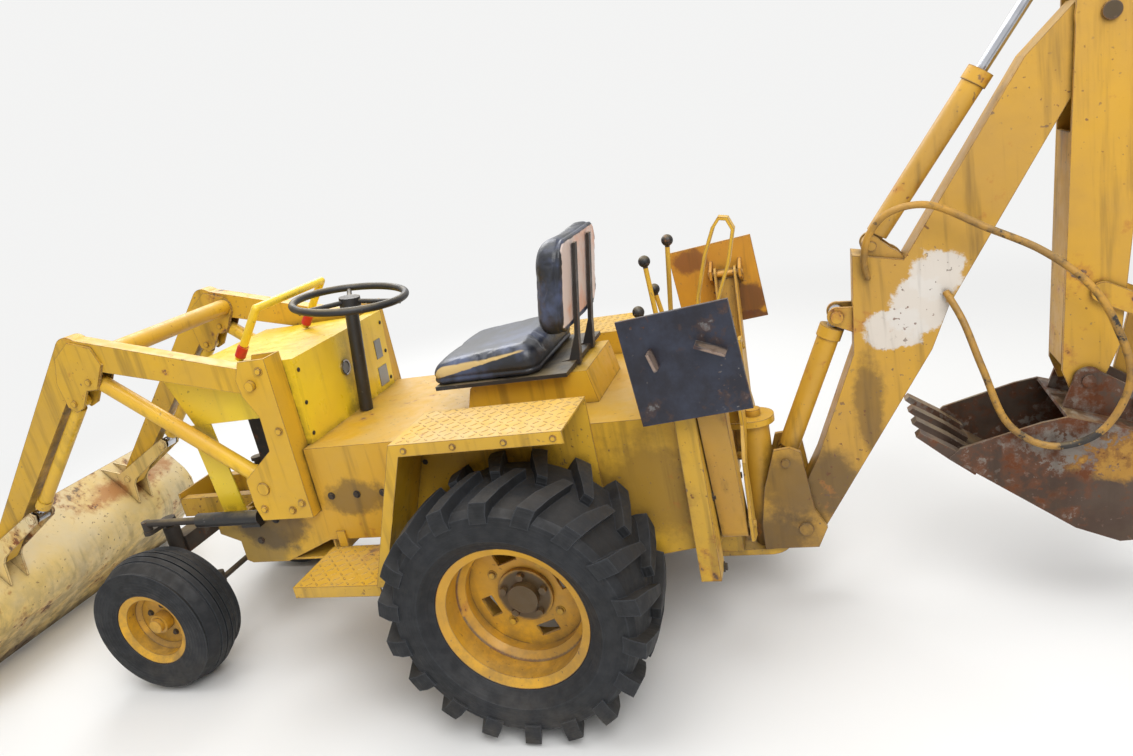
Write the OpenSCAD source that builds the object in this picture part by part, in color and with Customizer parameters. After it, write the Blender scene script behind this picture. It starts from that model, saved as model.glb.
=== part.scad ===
// Compact ride-on backhoe loader, parked with its loader bucket dumped onto the ground and its
// boom folded up. Millimetres. +X is forward, +Y is the operator's left, +Z is up.
// Side-view points are [x, z], measured from the ground under the rear axle.

/* [Wheels] */
// Distance between the axles
wheelbase = 1370; // [1340:5:1420]
// Outer radius of the rear tyre over its lugs
rear_tyre_r = 370; // [362:1:378]
// Width of the rear tyre
rear_tyre_w = 330; // [310:2:334]
// Middle of the rear tyre from the centre plane
rear_wheel_y = 509; // [506:1:524]
// Height of the lugs
lug_h = 28; // [18:1:32]
// Lugs on one side of a rear tyre
lug_count = 18; // [14:1:20]
// Flange radius of the rear rim
rear_rim_r = 210; // [200:1:214]
// Outer radius of the front tyre
front_tyre_r = 240; // [232:1:246]
// Width of the front tyre
front_tyre_w = 182; // [172:1:190]
// Middle of the front tyre from the centre plane
front_wheel_y = 395; // [393:1:410]
// Flange radius of the front rim
front_rim_r = 130; // [124:1:134]
// Kingpins from the centre plane
kingpin_y = 255; // [250:1:258]

/* [Chassis] */
// Half width over the side plates
frame_y = 320; // [312:1:322]
// Thickness of the frame plates
plate = 8; // [6:0.5:10]
// Top of the deck
deck_z = 770; // [760:1:780]
// Underside of the side plates
sill_z = 460; // [440:1:470]
// Top of the wheel boxes
fender_z = 850; // [845:1:870]
// Outer edge of the wheel boxes
fender_y = 556; // [540:1:575]
// Height of the side steps
step_z = 430; // [415:1:440]
// Top of the hood and dash
hood_z = 1035; // [1020:1:1045]
// Half width of the hood
hood_y = 280; // [265:1:284]
// Thickness of the body sheet
sheet = 5; // [4:0.5:7]

/* [Loader] */
// Middle of each loader arm from the centre plane
arm_y = 322; // [320:0.5:326]
// Width of the loader arm boxes
arm_w = 50; // [44:1:52]
// Width of the loader bucket
bucket_w = 1200; // [1000:10:1300]
// How far the parked bucket is dumped
bucket_dump = 40; // [34:1:42]

/* [Backhoe] */
// Width of the boom box
boom_w = 100; // [90:1:106]
// Width of the dig bucket
dig_w = 310; // [280:5:340]
// Teeth on the dig bucket
teeth = 4; // [3:1:5]
// Side of a stabilizer pad
pad_size = 276; // [240:2:280]

/* [Seat and steering] */
// Width of the seat cushion
seat_w = 440; // [400:5:460]
// Outer radius of the steering wheel
wheel_r = 190; // [170:1:195]

/* [Hidden] */
$fn = 64;
run = 0.05;
gap = 6;
seat_gap = 0.3;
yellow = [0.93, 0.70, 0.10];
olive = [0.72, 0.66, 0.10];
black = [0.08, 0.08, 0.09];
steel = [0.30, 0.28, 0.27];
chrome = [0.75, 0.76, 0.80];
rust = [0.45, 0.25, 0.14];

mid_x = 314;
rear_axle = [0, rear_tyre_r];
front_axle = [wheelbase, front_tyre_r];

arm_pivot = [775, 1000];
arm_knee = [1415, 1170];
bucket_pin = [2085, 475];
lift_top = [1372, 1072];
lift_foot = [850, 668];
curl_top = [1460, 1008];
curl_reach = 280;
lip_x = 507;
curl_angle = 150;
curl_eye = bucket_pin + curl_reach * [cos(curl_angle), sin(curl_angle)];

swing_x = -610;
boom_foot = [-725, 285];
boom_tip = [-1515, 1540];
boom_cyl_foot = [-690, 500];
boom_cyl_eye = [-872, 905];
dipper_cyl_foot = [-975, 1085];
dipper_cyl_eye = [-1487, 1770];
dipper_end = [-1455, 675];
dig_cyl_foot = [-1650, 1430];
rocker_pin = [-1490, 900];
rocker_eye = [-1626, 822];
link_eye = [-1575, 600];
// Pin to pin length of each cylinder when it is fully closed
lift_closed = norm(lift_top - lift_foot) - 5;
curl_closed = norm(curl_top - curl_eye) - 13;
boom_closed = norm(boom_cyl_eye - boom_cyl_foot) - 4;
dipper_closed = 508;
dig_closed = 412;
tip_half = boom_w / 2 + gap;
dipper_half = tip_half + plate + 2;
ear_in = dipper_half + gap;
ear_out = ear_in + 10;
link_in = ear_out + gap;

stab_x = -545;
stab_pivot = [235, 400];
stab_tip = [385, 980];
stab_cyl_foot = [110, 812];
stab_dir = (stab_tip - stab_pivot) / norm(stab_tip - stab_pivot);
stab_cyl_eye = stab_pivot + 140 * stab_dir;
stab_closed = norm(stab_cyl_eye - stab_cyl_foot) - 3.5;

// Path of the slack hose on the left side of the boom, from port to port
hose_path = [[-958, 58.3, 1005], [-952, 82, 1062], [-970, 102, 1130], [-1022, 112, 1178], [-1114, 115, 1180],
    [-1232, 120, 1108], [-1349, 130, 1035], [-1440, 150, 945], [-1490, 165, 845], [-1518, 175, 705],
    [-1455, 182, 580], [-1345, 182, 548], [-1252, 172, 612], [-1205, 145, 755], [-1174, 100, 870],
    [-1142, 58.3, 945]];

seat_x = 60;
// Balls of the control levers
lever_tops = [[-352, 118, 1010], [-378, 50, 1136], [-436, -35, 1172], [-360, -110, 1020]];
column_top = [602, 1150];
column_foot = [652, 780];

// Extrudes a side-view outline of [x, z] points across the machine, from y0 towards +Y
module side(y0, w) translate([0, y0 + w, 0]) rotate([90, 0, 0]) linear_extrude(w) children();

// Extrudes a rear-view outline of [y, z] points along the machine, from x0 towards +X
module across(x0, w) translate([x0, 0, 0]) rotate([90, 0, 90]) linear_extrude(w) children();

// A round bar or bore across the machine at a side-view point
module cross_pin(at, y0, y1, r) translate([at[0], y1, at[1]]) rotate([90, 0, 0])
    cylinder(r = r, h = y1 - y0);

// A round bar or bore along the machine at a rear-view point [y, z]
module long_pin(at, x0, x1, r) translate([x0, at[0], at[1]]) rotate([0, 90, 0])
    cylinder(r = r, h = x1 - x0);

module both_sides() {
    children();
    mirror([0, 1, 0]) children();
}

module one_side(left) mirror([0, left ? 0 : 1, 0]) children();

// Turns +Z onto the side-view direction from p to q, with the origin at p and height y
module aim(p, q, y = 0) translate([p[0], y, p[1]])
    rotate([0, atan2(q[0] - p[0], q[1] - p[1]), 0]) children();

function side_dist(p, q) = norm(q - p);

// Corners of a closed outline moved inwards by t, whichever way round it is drawn
function turn(p, i = 0) = i == len(p) ? 0
    : p[i][0] * p[(i + 1) % len(p)][1] - p[(i + 1) % len(p)][0] * p[i][1] + turn(p, i + 1);
function inset(pts, t) = let (s = sign(turn(pts))) [for (i = [0:len(pts) - 1])
    let (a = pts[(i + len(pts) - 1) % len(pts)], b = pts[i], c = pts[(i + 1) % len(pts)],
        u = (b - a) / norm(b - a), v = (c - b) / norm(c - b),
        n1 = s * [-u[1], u[0]], n2 = s * [-v[1], v[0]])
    b + t * (n1 + n2) / (1 + n1 * n2)];

// Outline of a bent sheet: an open line of points thickened by t on one side
function sheet_line(pts, t) = let (n = len(pts) - 1,
    d = [for (i = [0:n - 1]) (pts[i + 1] - pts[i]) / norm(pts[i + 1] - pts[i])],
    m = [for (i = [0:n]) let (a = d[max(i - 1, 0)], b = d[min(i, n - 1)])
        pts[i] + t * [-a[1] - b[1], a[0] + b[0]] / (1 + a * b)])
    concat(pts, [for (i = [n:-1:0]) m[i]]);

// Outline of a bar with round ends through two points, its flanks let into the ends by step
module bar_outline(p, q, r0, r1, step = 0) {
    translate(p) circle(r0);
    translate(q) circle(r1);
    dir = (q - p) / norm(q - p);
    side_dir = [-dir[1], dir[0]];
    a = (r0 - step) * side_dir;
    b = (r1 - step) * side_dir;
    polygon([p + a, q + b, q - b, p - a]);
}

// Smooth curve through the points of p, with k steps between each two
function curve(p, k) = concat([for (i = [0:len(p) - 2], j = [0:k - 1])
    let (a = p[max(i - 1, 0)], b = p[i], c = p[i + 1], d = p[min(i + 2, len(p) - 1)], t = j / k)
    0.5 * (2 * b + t * (c - a) + t * t * (2 * a - 5 * b + 4 * c - d) + t * t * t * (3 * b - a - 3 * c + d))],
    [p[len(p) - 1]]);

// Round hose swept along the points of p
module hose(p, r, sides = 10) {
    n = len(p);
    rings = [for (i = [0:n - 1]) let (d = p[min(i + 1, n - 1)] - p[max(i - 1, 0)], t = d / norm(d),
        w = cross([0, 1, 0], t), u = w / norm(w), v = cross(t, u))
        for (k = [0:sides - 1]) p[i] + r * cos(360 * k / sides) * u + r * sin(360 * k / sides) * v];
    polyhedron(rings, concat([[for (k = [0:sides - 1]) k]],
        [for (i = [0:n - 2], k = [0:sides - 1]) let (m = (k + 1) % sides)
            [i * sides + k, (i + 1) * sides + k, (i + 1) * sides + m, i * sides + m]],
        [[for (k = [sides - 1:-1:0]) (n - 1) * sides + k]]));
}

// Cylinder barrel with its eye at the origin, along +Z, the eye's pin along Y
module barrel(r, closed, eye_w, pin_r, rod_r, wall = 6) {
    length = closed - pin_r - 20;
    difference() {
        union() {
            rotate([90, 0, 0]) cylinder(r = pin_r + 11, h = eye_w, center = true);
            translate([0, 0, pin_r]) cylinder(r = r * 0.7, h = 26);
            translate([0, 0, pin_r + 18]) cylinder(r = r, h = length - pin_r - 18);
            translate([0, 0, length - 34]) cylinder(r = r + 4, h = 34);
        }
        rotate([90, 0, 0]) cylinder(r = pin_r + run, h = eye_w + 2, center = true);
        translate([0, 0, pin_r + 34]) cylinder(r = r - wall, h = length - pin_r - 34 - 40);
        translate([0, 0, pin_r + 40]) cylinder(r = rod_r + run, h = length);
    }
}

// Cylinder rod with its eye at the origin, along +Z towards the barrel, pin ends flush
module cylinder_rod(rod_r, closed, eye_w, pin_r) {
    rotate([90, 0, 0]) cylinder(r = pin_r + 10, h = eye_w, center = true);
    cylinder(r = rod_r, h = closed - pin_r - 42);
}

// Tyre section from the bead seat out to the tread, as [radius, y], closed by its mirror image
module tyre_section(r, w, rim_r, rim_half, crown) {
    half = w / 2;
    wall = r - rim_r;
    out = [[rim_r - 19 + seat_gap, rim_half - 13], [rim_r + 0.5, rim_half - 1], [rim_r + 2, rim_half + 7],
        [rim_r + wall * 0.3, half - 1], [rim_r + wall * 0.5, half], [rim_r + wall * 0.8, half * 0.97],
        [r - crown, half * 0.84], [r - crown * 0.35, half * 0.5], [r, half * 0.16]];
    polygon(concat(out, [for (i = [len(out) - 1:-1:0]) [out[i][0], -out[i][1]]]));
}

module lug_ring() {
    half = rear_tyre_w / 2;
    rotate([90, 0, 0]) rotate_extrude($fn = 96)
        polygon([[rear_tyre_r - 70, -half + 4], [rear_tyre_r - 42, -half], [rear_tyre_r - 12, -half + 5],
            [rear_tyre_r - 3, -half * 0.6], [rear_tyre_r, -half * 0.2], [rear_tyre_r, half * 0.2],
            [rear_tyre_r - 3, half * 0.6], [rear_tyre_r - 12, half - 5], [rear_tyre_r - 42, half],
            [rear_tyre_r - 70, half - 4]]);
}

// One lug, seen from outside the tread: from the middle to the shoulder, swept back
module lug_bar(hand) {
    half = rear_tyre_w / 2;
    translate([0, 0, rear_tyre_r - 110]) linear_extrude(130)
        polygon([[-14, -10 * hand], [14, -10 * hand], [58, hand * half * 0.55], [84, hand * (half + 10)],
            [38, hand * (half + 10)], [20, hand * half * 0.64]]);
}

module rear_tyre(left) {
    color(black) translate([rear_axle[0], (left ? 1 : -1) * rear_wheel_y, rear_axle[1]]) {
        difference() {
            rotate([90, 0, 0]) rotate_extrude($fn = 96)
                tyre_section(rear_tyre_r - lug_h, rear_tyre_w - 12, rear_rim_r, 120, 12);
        }
        intersection() {
            lug_ring();
            for (i = [0:lug_count - 1], hand = [-1, 1])
                rotate([0, -(i + (hand > 0 ? 0.5 : 0)) * 360 / lug_count, 0]) lug_bar(hand);
        }
    }
}

// Rim section as [radius, y], y outwards from the middle of the wheel
module rim_section(r, w, t, drop) {
    half = w / 2;
    polygon([[r, half], [r - 19, half - 12], [r - 19, half * 0.4], [r - drop, half * 0.22],
        [r - drop, -half * 0.5], [r - 19, -half * 0.66], [r - 19, -half + 12], [r, -half],
        [r, -half - t], [r - 19 - t, -half + 8], [r - 19 - t, -half * 0.64],
        [r - drop - t, -half * 0.5], [r - drop - t, half * 0.2], [r - 19 - t, half * 0.36],
        [r - 19 - t, half - 8], [r, half + t]]);
}

module rear_rim(left) {
    hand = left ? 1 : -1;
    disc_y = 122 - 127;
    color(yellow) translate([rear_axle[0], hand * rear_wheel_y, rear_axle[1]])
        mirror([0, left ? 0 : 1, 0]) difference() {
            union() {
                rotate([-90, 0, 0]) rotate_extrude($fn = 96) rim_section(rear_rim_r, 240, 5, 40);
                rotate([-90, 0, 0]) translate([0, 0, disc_y - 8]) cylinder(r = rear_rim_r - 42, h = 8);
                rotate([-90, 0, 0]) translate([0, 0, disc_y - 12]) cylinder(r = 78, h = 24);
                rotate([-90, 0, 0]) translate([0, 0, disc_y]) cylinder(r = 42, h = 34);
                for (a = [0:72:359]) rotate([0, a, 0]) translate([0, 0, 60])
                    rotate([-90, 0, 0]) translate([0, 0, disc_y]) cylinder(r = 11, h = 26, $fn = 6);
            }
            for (a = [0:90:359]) rotate([0, a + 20, 0]) translate([0, disc_y - 10, 118])
                rotate([-90, 0, 0]) linear_extrude(20) square([60, 34], center = true);
            rotate([-90, 0, 0]) translate([0, 0, disc_y - 14]) cylinder(r = 25 + run, h = 30);
        }
}

module front_tyre(left) {
    color(black) translate([front_axle[0], (left ? 1 : -1) * front_wheel_y, front_axle[1]])
        difference() {
            rotate([90, 0, 0]) rotate_extrude($fn = 96)
                tyre_section(front_tyre_r, front_tyre_w, front_rim_r, 75, 26);
            for (s = [-1, 1], k = [0.14, 0.4]) rotate([90, 0, 0]) translate([0, 0, s * k * front_tyre_w / 2])
                rotate_extrude($fn = 96) translate([front_tyre_r - 9, -3]) square([20, 6]);
        }
}

module front_rim(left) {
    hand = left ? 1 : -1;
    color(yellow) translate([front_axle[0], hand * front_wheel_y, front_axle[1]])
        mirror([0, left ? 0 : 1, 0]) difference() {
            union() {
                rotate([-90, 0, 0]) rotate_extrude($fn = 96) rim_section(front_rim_r, 150, 4, 34);
                rotate([-90, 0, 0]) translate([0, 0, 8]) cylinder(r = front_rim_r - 36, h = 6);
                rotate([-90, 0, 0]) translate([0, 0, -46]) cylinder(r = 34, h = 92);
                rotate([-90, 0, 0]) translate([0, 0, 46]) cylinder(r = 24, h = 16);
            }
            rotate([-90, 0, 0]) translate([0, 0, -50]) cylinder(r = 16 + run, h = 98);
        }
}

module rear_axle_housing() {
    color(steel) {
        cross_pin(rear_axle, -frame_y + 20, frame_y - 20, 48);
        translate([-110, -120, rear_axle[1] - 110]) cube([220, 240, 190]);
        both_sides() {
            cross_pin(rear_axle, frame_y - 24, frame_y + 36, 70);
            cross_pin(rear_axle, frame_y + 30, rear_wheel_y + 6, 25);
        }
    }
}

module front_axle_beam() {
    color(steel) difference() {
        union() {
            translate([wheelbase - 34, -kingpin_y + 10, 400]) cube([68, 2 * kingpin_y - 20, 60]);
            both_sides() translate([wheelbase, kingpin_y, 320]) cylinder(r = 27, h = 190);
            translate([wheelbase - 60, -70, 392]) cube([120, 140, 78]);
        }
        both_sides() translate([wheelbase, kingpin_y, 300]) cylinder(r = 16 + run, h = 230);
    }
}

// Kingpin, stub axle and steering arms of one front wheel
module knuckle(left) {
    low = front_tyre_r - 32;
    color(steel) one_side(left) {
        translate([wheelbase, kingpin_y, low]) cylinder(r = 16, h = 540 - low);
        translate([wheelbase, kingpin_y, low]) cylinder(r = 26, h = 314 - low);
        cross_pin(front_axle, kingpin_y, front_wheel_y + 40, 16);
        translate([wheelbase, kingpin_y, 290])
            linear_extrude(14) bar_outline([0, 0], [-100, -34], 22, 15);
        if (left) translate([wheelbase, kingpin_y, 526])
            linear_extrude(14) bar_outline([0, 0], [0, 90], 24, 17);
        else translate([wheelbase, kingpin_y, 526]) cylinder(r = 24, h = 14);
    }
}

module tie_rod() {
    end_y = kingpin_y - 34;
    color(steel) {
        translate([wheelbase - 100, 0, 274]) rotate([90, 0, 0]) cylinder(r = 10, h = 2 * end_y, center = true);
        both_sides() translate([wheelbase - 100, end_y, 262]) cylinder(r = 14, h = 28 - seat_gap);
    }
}

// Power steering cylinder, fixed to the frame; the drag link slides out of its front end
module steering_ram() {
    ram_y = kingpin_y + 90;
    color(black) {
        difference() {
            translate([912, ram_y, 566]) rotate([0, 90, 0]) cylinder(r = 23, h = 240);
            translate([930, ram_y, 566]) rotate([0, 90, 0]) cylinder(r = 12 + run, h = 300);
        }
        translate([925, frame_y + seat_gap, 530]) cube([70, ram_y - frame_y, 15]);
    }
}

module drag_link() {
    ram_y = kingpin_y + 90;
    color(black) {
        translate([1000, ram_y, 566]) rotate([0, 90, 0]) cylinder(r = 12, h = wheelbase - 1000);
        translate([wheelbase, ram_y, 540 + seat_gap]) cylinder(r = 15, h = 34);
    }
}

// Side plate outline: the deck box, then the lower engine cradle in front of it
module side_plate_outline() polygon([[-450, 380], [-450, deck_z - plate], [700, deck_z - plate],
    [700, 560], [1110, 560], [1110, 500], [1040, 470], [1040, 400], [1020, 390], [880, 390],
    [700, sill_z], [190, sill_z], [150, 300], [-150, 300], [-190, 340]]);

module main_frame() {
    inner = frame_y - plate;
    color(yellow) {
        difference() {
            both_sides() side(inner, plate) side_plate_outline();
            cross_pin(rear_axle, -frame_y - 5, frame_y + 5, 71);
        }
        translate([-450, -frame_y, deck_z - plate]) cube([1150, 2 * frame_y, plate]);
        translate([-450, -inner, 380]) cube([plate, 2 * inner, deck_z - plate - 380]);
        translate([700 - plate, -inner, 390]) cube([plate, 2 * inner, deck_z - plate - 390]);
        translate([1032, -inner, 400]) cube([plate, 2 * inner, 160]);
        both_sides() translate([1008, hood_y - 30, 552]) cube([102, inner - hood_y + 30, plate]);
        translate([700 - plate, -inner, 390]) cube([348, 2 * inner, plate]);
        // Rails that reach forward over the axle beam
        both_sides() translate([1032, 78, 470.3]) cube([408, 34, 70]);
        translate([1432, -112, 470.3]) cube([8, 224, 90]);
    }
}

module engine_block() {
    color(steel) {
        translate([745, -190, 398 + seat_gap]) cube([280, 380, 264]);
        translate([765, -140, 662 + seat_gap]) cube([250, 280, 170]);
    }
}

module hood() {
    color(yellow) {
        both_sides() side(hood_y - sheet, sheet)
            polygon([[730, hood_z], [1165, hood_z], [1100, 868], [730, 872]]);
        translate([730, -hood_y, hood_z - sheet]) cube([435, 2 * hood_y, sheet]);
        side(-hood_y, 2 * hood_y) polygon([[1165, hood_z], [1160, hood_z], [1139, 980], [1144, 980]]);
    }
    // Front legs, standing on the cradle
    color(olive) both_sides() side(hood_y - sheet, sheet)
        polygon([[1016, 560 + seat_gap], [1104, 560 + seat_gap], [1128, 868], [1040, 868]]);
}

module dash_cowl() {
    outer = hood_z + 10;
    color(yellow) {
        both_sides() side(hood_y - sheet, sheet)
            polygon([[690, deck_z], [727, deck_z], [727, outer], [672, outer]]);
        side(-hood_y + sheet, 2 * (hood_y - sheet)) polygon([[690, deck_z],
            [690 + sheet, deck_z], [672 + sheet, outer - sheet], [727, outer - sheet], [727, outer],
            [672, outer]]);
    }
}

module hood_hoop() {
    foot = [930, hood_z + 9];
    top = [812, 1195];
    color(yellow) {
        both_sides() aim(foot, top, 190) cylinder(r = 13, h = side_dist(foot, top));
        cross_pin(top, -190, 190, 13);
        both_sides() translate([top[0], 190, top[1]]) sphere(r = 13, $fn = 32);
    }
    color([0.8, 0.1, 0.1]) both_sides() aim(foot, top, 190) translate([0, 0, 12]) cylinder(r = 17, h = 40);
}

// Wheel box: top plate, raked front plate and inner wall beside one rear tyre
module wheel_boxes() {
    color(yellow) both_sides() {
        inner = frame_y + seat_gap;
        side(inner, sheet) polygon([[-215, sill_z + 40], [-215, fender_z], [262, fender_z], [418, step_z],
            [380, step_z], [300, sill_z + 90]]);
        translate([-215, inner, fender_z - sheet]) cube([477, fender_y - inner, sheet]);
        side(inner, fender_y - inner) polygon([[262, fender_z], [262 - sheet, fender_z],
            [418 - sheet, step_z], [418, step_z]]);
        side(fender_y - sheet, sheet) polygon([[-215, fender_z - 34], [-215, fender_z],
            [262, fender_z], [418, step_z], [388, step_z], [240, fender_z - 34]]);
        // Tread-plate step in front of the tyre, on two hangers
        translate([410, inner, step_z]) cube([288, fender_y - inner - 4, sheet]);
        translate([410, fender_y - 9, step_z - 30]) cube([288, sheet, 32]);
        for (x0 = [440, 640]) translate([x0, inner, step_z]) cube([30, sheet, 60]);
    }
}

module steering_column() {
    color(black) aim(column_foot, column_top) difference() {
        translate([0, 0, -6.8]) cylinder(r = 22, h = side_dist(column_foot, column_top) - 40);
        translate([0, 0, 40]) cylinder(r = 9 + run, h = 700);
    }
}

module steering_wheel() {
    reach = side_dist(column_foot, column_top);
    color(black) aim(column_foot, column_top) {
        translate([0, 0, reach]) rotate_extrude() translate([wheel_r - 12, 0]) circle(12, $fn = 24);
        translate([0, 0, reach - 30]) cylinder(r = 34, h = 36);
        for (a = [60, 180, 300]) rotate([0, 0, a]) translate([0, 0, reach - 8]) rotate([0, 90, 0])
            cylinder(r = 8, h = wheel_r - 12);
        translate([0, 0, 200]) cylinder(r = 9, h = reach - 200);
    }
}

module seat_pedestal() {
    color(yellow) difference() {
        side(-150, 300) polygon([[-200, deck_z + seat_gap], [215, deck_z + seat_gap], [190, 850],
            [160, 868], [-180, 868]]);
        side(-144, 288) polygon([[-194, deck_z + 6], [205, deck_z + 6], [184, 846],
            [154, 862], [-174, 862]]);
        translate([seat_x, 0, 850]) cylinder(r = 20 + run, h = 40);
    }
}

module seat_pan() {
    color(black) {
        translate([seat_x - 200, -seat_w / 2 + 10, 874]) cube([410, seat_w - 20, 12]);
        translate([seat_x, 0, 846]) cylinder(r = 20, h = 32);
        both_sides() side(70, 24) polygon([[-150, 874], [-60, 874], [-60, 882], [-118, 890],
            [-148, 963.2], [-192.5, 1225], [-202.5, 1225], [-160, 960]]);
    }
}

module seat_cushion() {
    color([0.16, 0.17, 0.19]) side(-seat_w / 2, seat_w) polygon([[-70, 886 + seat_gap], [300, 886 + seat_gap],
        [300, 930], [285, 948], [-20, 978], [-56, 956], [-70, 938]]);
}

// Rear face of the backrest, leaning back along its brackets
function back_face(z) = -150 + seat_gap - 0.17 * (z - 975);

module seat_back() {
    color([0.16, 0.17, 0.19]) translate([0, -seat_w / 2, 0]) side(0, seat_w)
        polygon([[back_face(975), 975], [back_face(983) + 88, 983], [back_face(1222) + 86, 1222],
            [back_face(1250) + 68, 1250], [back_face(1262) + 30, 1262], [back_face(1250), 1250]]);
}

module loader_towers() {
    inner = arm_y - arm_w / 2 - gap;
    outer = arm_y + arm_w / 2 + gap;
    cheek = [[706, 560 + seat_gap], [706, 1075], [798, 1075], [824, 1020], [818, 968], [782, 900],
        [786, 790], [905, 700], [905, 610], [890, 560 + seat_gap]];
    color(yellow) both_sides() {
        side(inner - plate, plate) polygon(cheek);
        side(outer, plate) polygon(cheek);
        translate([706, inner, 560 + seat_gap]) cube([plate, outer - inner, 1075 - 560 - seat_gap]);
        translate([706, inner - plate, 560 + seat_gap]) cube([184, outer - inner + 2 * plate, plate]);
        cross_pin(arm_pivot, inner - plate, outer + plate + 14, 15);
        cross_pin(lift_foot, inner - plate, inner, 20);
        cross_pin(lift_foot, outer, outer + plate + 6, 20);
    }
}

module loader_arms() {
    color(yellow) {
        both_sides() difference() {
            union() {
                side(arm_y - arm_w / 2, arm_w) {
                    bar_outline(arm_pivot, arm_knee, 38, 46);
                    bar_outline(arm_knee, bucket_pin, 52, 34);
                }
                // Knee plates that carry the lift and curl cylinders
                for (y0 = [arm_y - arm_w / 2 - plate, arm_y + arm_w / 2]) side(y0, plate)
                    polygon([[1300, 1122], [1350, 1045], [1392, 1045], [1430, 990], [1462, 978],
                        [1490, 998], [1500, 1080], [1470, 1160], [1400, 1206], [1320, 1180]]);
            }
            cross_pin(arm_pivot, arm_y - 60, arm_y + 60, 15 + run);
            cross_pin(bucket_pin, arm_y - 60, arm_y + 60, 13 + run);
        }
        both_sides() for (at = [lift_top, curl_top])
            cross_pin(at, arm_y - arm_w / 2 - plate - 6, arm_y + arm_w / 2 + plate + 6, 10);
        // Cross tube behind the knees
        cross_pin([1330, 1142], -arm_y + arm_w / 2, arm_y - arm_w / 2, 30);
    }
}

module lift_barrels() {
    color(yellow) both_sides() aim(lift_top, lift_foot, arm_y) barrel(25, lift_closed, 30, 10, 12.5);
}

module lift_rods() {
    color(chrome) both_sides() aim(lift_foot, lift_top, arm_y) cylinder_rod(12.5, lift_closed, 56, 12);
}

module curl_barrels() {
    color(yellow) both_sides() aim(curl_top, curl_eye, arm_y) barrel(21, curl_closed, 28, 10, 11);
}

module curl_rods() {
    color(chrome) both_sides() aim(curl_eye, curl_top, arm_y) cylinder_rod(11, curl_closed, 46, 11);
}

module end_plate_outline() polygon([[65, 120], [65, -54], [79, -122], [118, -168], [170, -190], [205, -194],
    [lip_x, -194], [lip_x, -178], [360, -70], [150, 128], [70, 132]]);

module shell_outline() {
    difference() {
        union() {
            translate([205, -54]) circle(140);
            polygon([[65, 130], [65, -54], [205, -54], [205, 130]]);
            polygon([[205, -194], [lip_x, -194], [lip_x, -60], [205, -54]]);
        }
        translate([205, -54]) circle(132);
        polygon([[73, 140], [73, -54], [205, -54], [230, 140]]);
        polygon([[205, -186], [520, -186], [520, 0], [205, 0]]);
        translate([205, -54]) polygon([[0, -132], [200, -132], [200, 300], [-60, 300], [-132, 0]]);
    }
}

module loader_bucket() {
    inner = arm_y - arm_w / 2 - gap;
    outer = arm_y + arm_w / 2 + gap;
    eye = curl_reach * [cos(curl_angle + bucket_dump), sin(curl_angle + bucket_dump)];
    color(yellow) translate([bucket_pin[0], 0, bucket_pin[1]]) rotate([0, bucket_dump, 0]) {
        side(-bucket_w / 2, bucket_w) shell_outline();
        both_sides() {
            side(bucket_w / 2 - 8, 8) end_plate_outline();
            for (y0 = [inner - plate, outer]) side(y0, plate)
                polygon([[66, 126], [66, -100], [0, -38], [-30, -30], eye + [0, -24], eye + [-22, -6],
                    eye + [-14, 18], [-20, 34], [10, 42]]);
            cross_pin([0, 0], inner - plate - 8, outer + plate + 8, 13);
            cross_pin(eye, inner - plate - 6, inner, 18);
            cross_pin(eye, outer, outer + plate + 6, 18);
        }
        // Cutting edge
        side(-bucket_w / 2, bucket_w) polygon([[430, -194], [lip_x, -194], [lip_x - 10, -182], [430, -178]]);
    }
}

module backhoe_frame() {
    wall_x = -450 - seat_gap;
    color(yellow) {
        both_sides() {
            translate([wall_x - 55, frame_y - 40, 300]) cube([55, 84, 490]);
            // Ears that carry the stabilizer and its cylinder
            for (x0 = [stab_x - 52, stab_x + 42]) across(x0, 10)
                polygon([[190, 340], [stab_pivot[0] + 30, 360], [stab_pivot[0] + 30, 430],
                    [stab_pivot[0] + 10, 470], [stab_pivot[0] - 10, 580], [150, 660], [150, 790],
                    [120, 840], [72, 840], [72, 640], [190, 560]]);
            translate([stab_x - 52, 72, 640]) cube([104, 8, 200]);
            // Blocks that tie the ears to the rear wall
            translate([stab_x + 50, 190, 345]) cube([wall_x - stab_x - 50, 60, 120]);
            translate([stab_x + 50, 72, 640]) cube([wall_x - stab_x - 50, 60, 130]);
            long_pin(stab_pivot, stab_x - 58, stab_x + 58, 12);
            long_pin(stab_cyl_foot, stab_x - 58, stab_x + 58, 10);
        }
        // Rear wall, top shelf and the two plates that hold the swing post
        translate([wall_x - plate, -frame_y, 300]) cube([plate, 2 * frame_y, 480]);
        for (z0 = [196, 610]) difference() {
            union() {
                translate([swing_x, -60, z0]) cube([wall_x - swing_x, 120, 20]);
                translate([swing_x, 0, z0]) cylinder(r = 60, h = 20);
            }
            translate([swing_x, 0, z0 - 1]) cylinder(r = 22 + run, h = 30);
        }
        translate([stab_x + 10, -70, 216]) cube([wall_x - stab_x - 10, 140, 394]);
    }
}

module control_levers() {
    color(yellow) {
        for (k = lever_tops) {
            foot = [-395, k[1], 800];
            translate(foot) rotate([0, atan2(k[0] - foot[0], k[2] - foot[2]), 0])
                cylinder(r = 7, h = norm(k - foot));
            translate(k) sphere(r = 17, $fn = 32);
        }
        translate([-440, -170, deck_z + seat_gap]) cube([100, 340, 46]);
    }
}

// Loop of flat bar bolted behind the rear wall
module grab_loop() {
    color(yellow) side(-19, 38) polygon(sheet_line([[-459, 690], [-459, 790], [-502, 1010], [-536, 1121],
        [-570, 1196], [-592, 1222], [-618, 1216], [-632, 1182], [-607, 1090], [-574, 1014],
        [-478, 770], [-478, 690]], 9));
}

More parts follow.
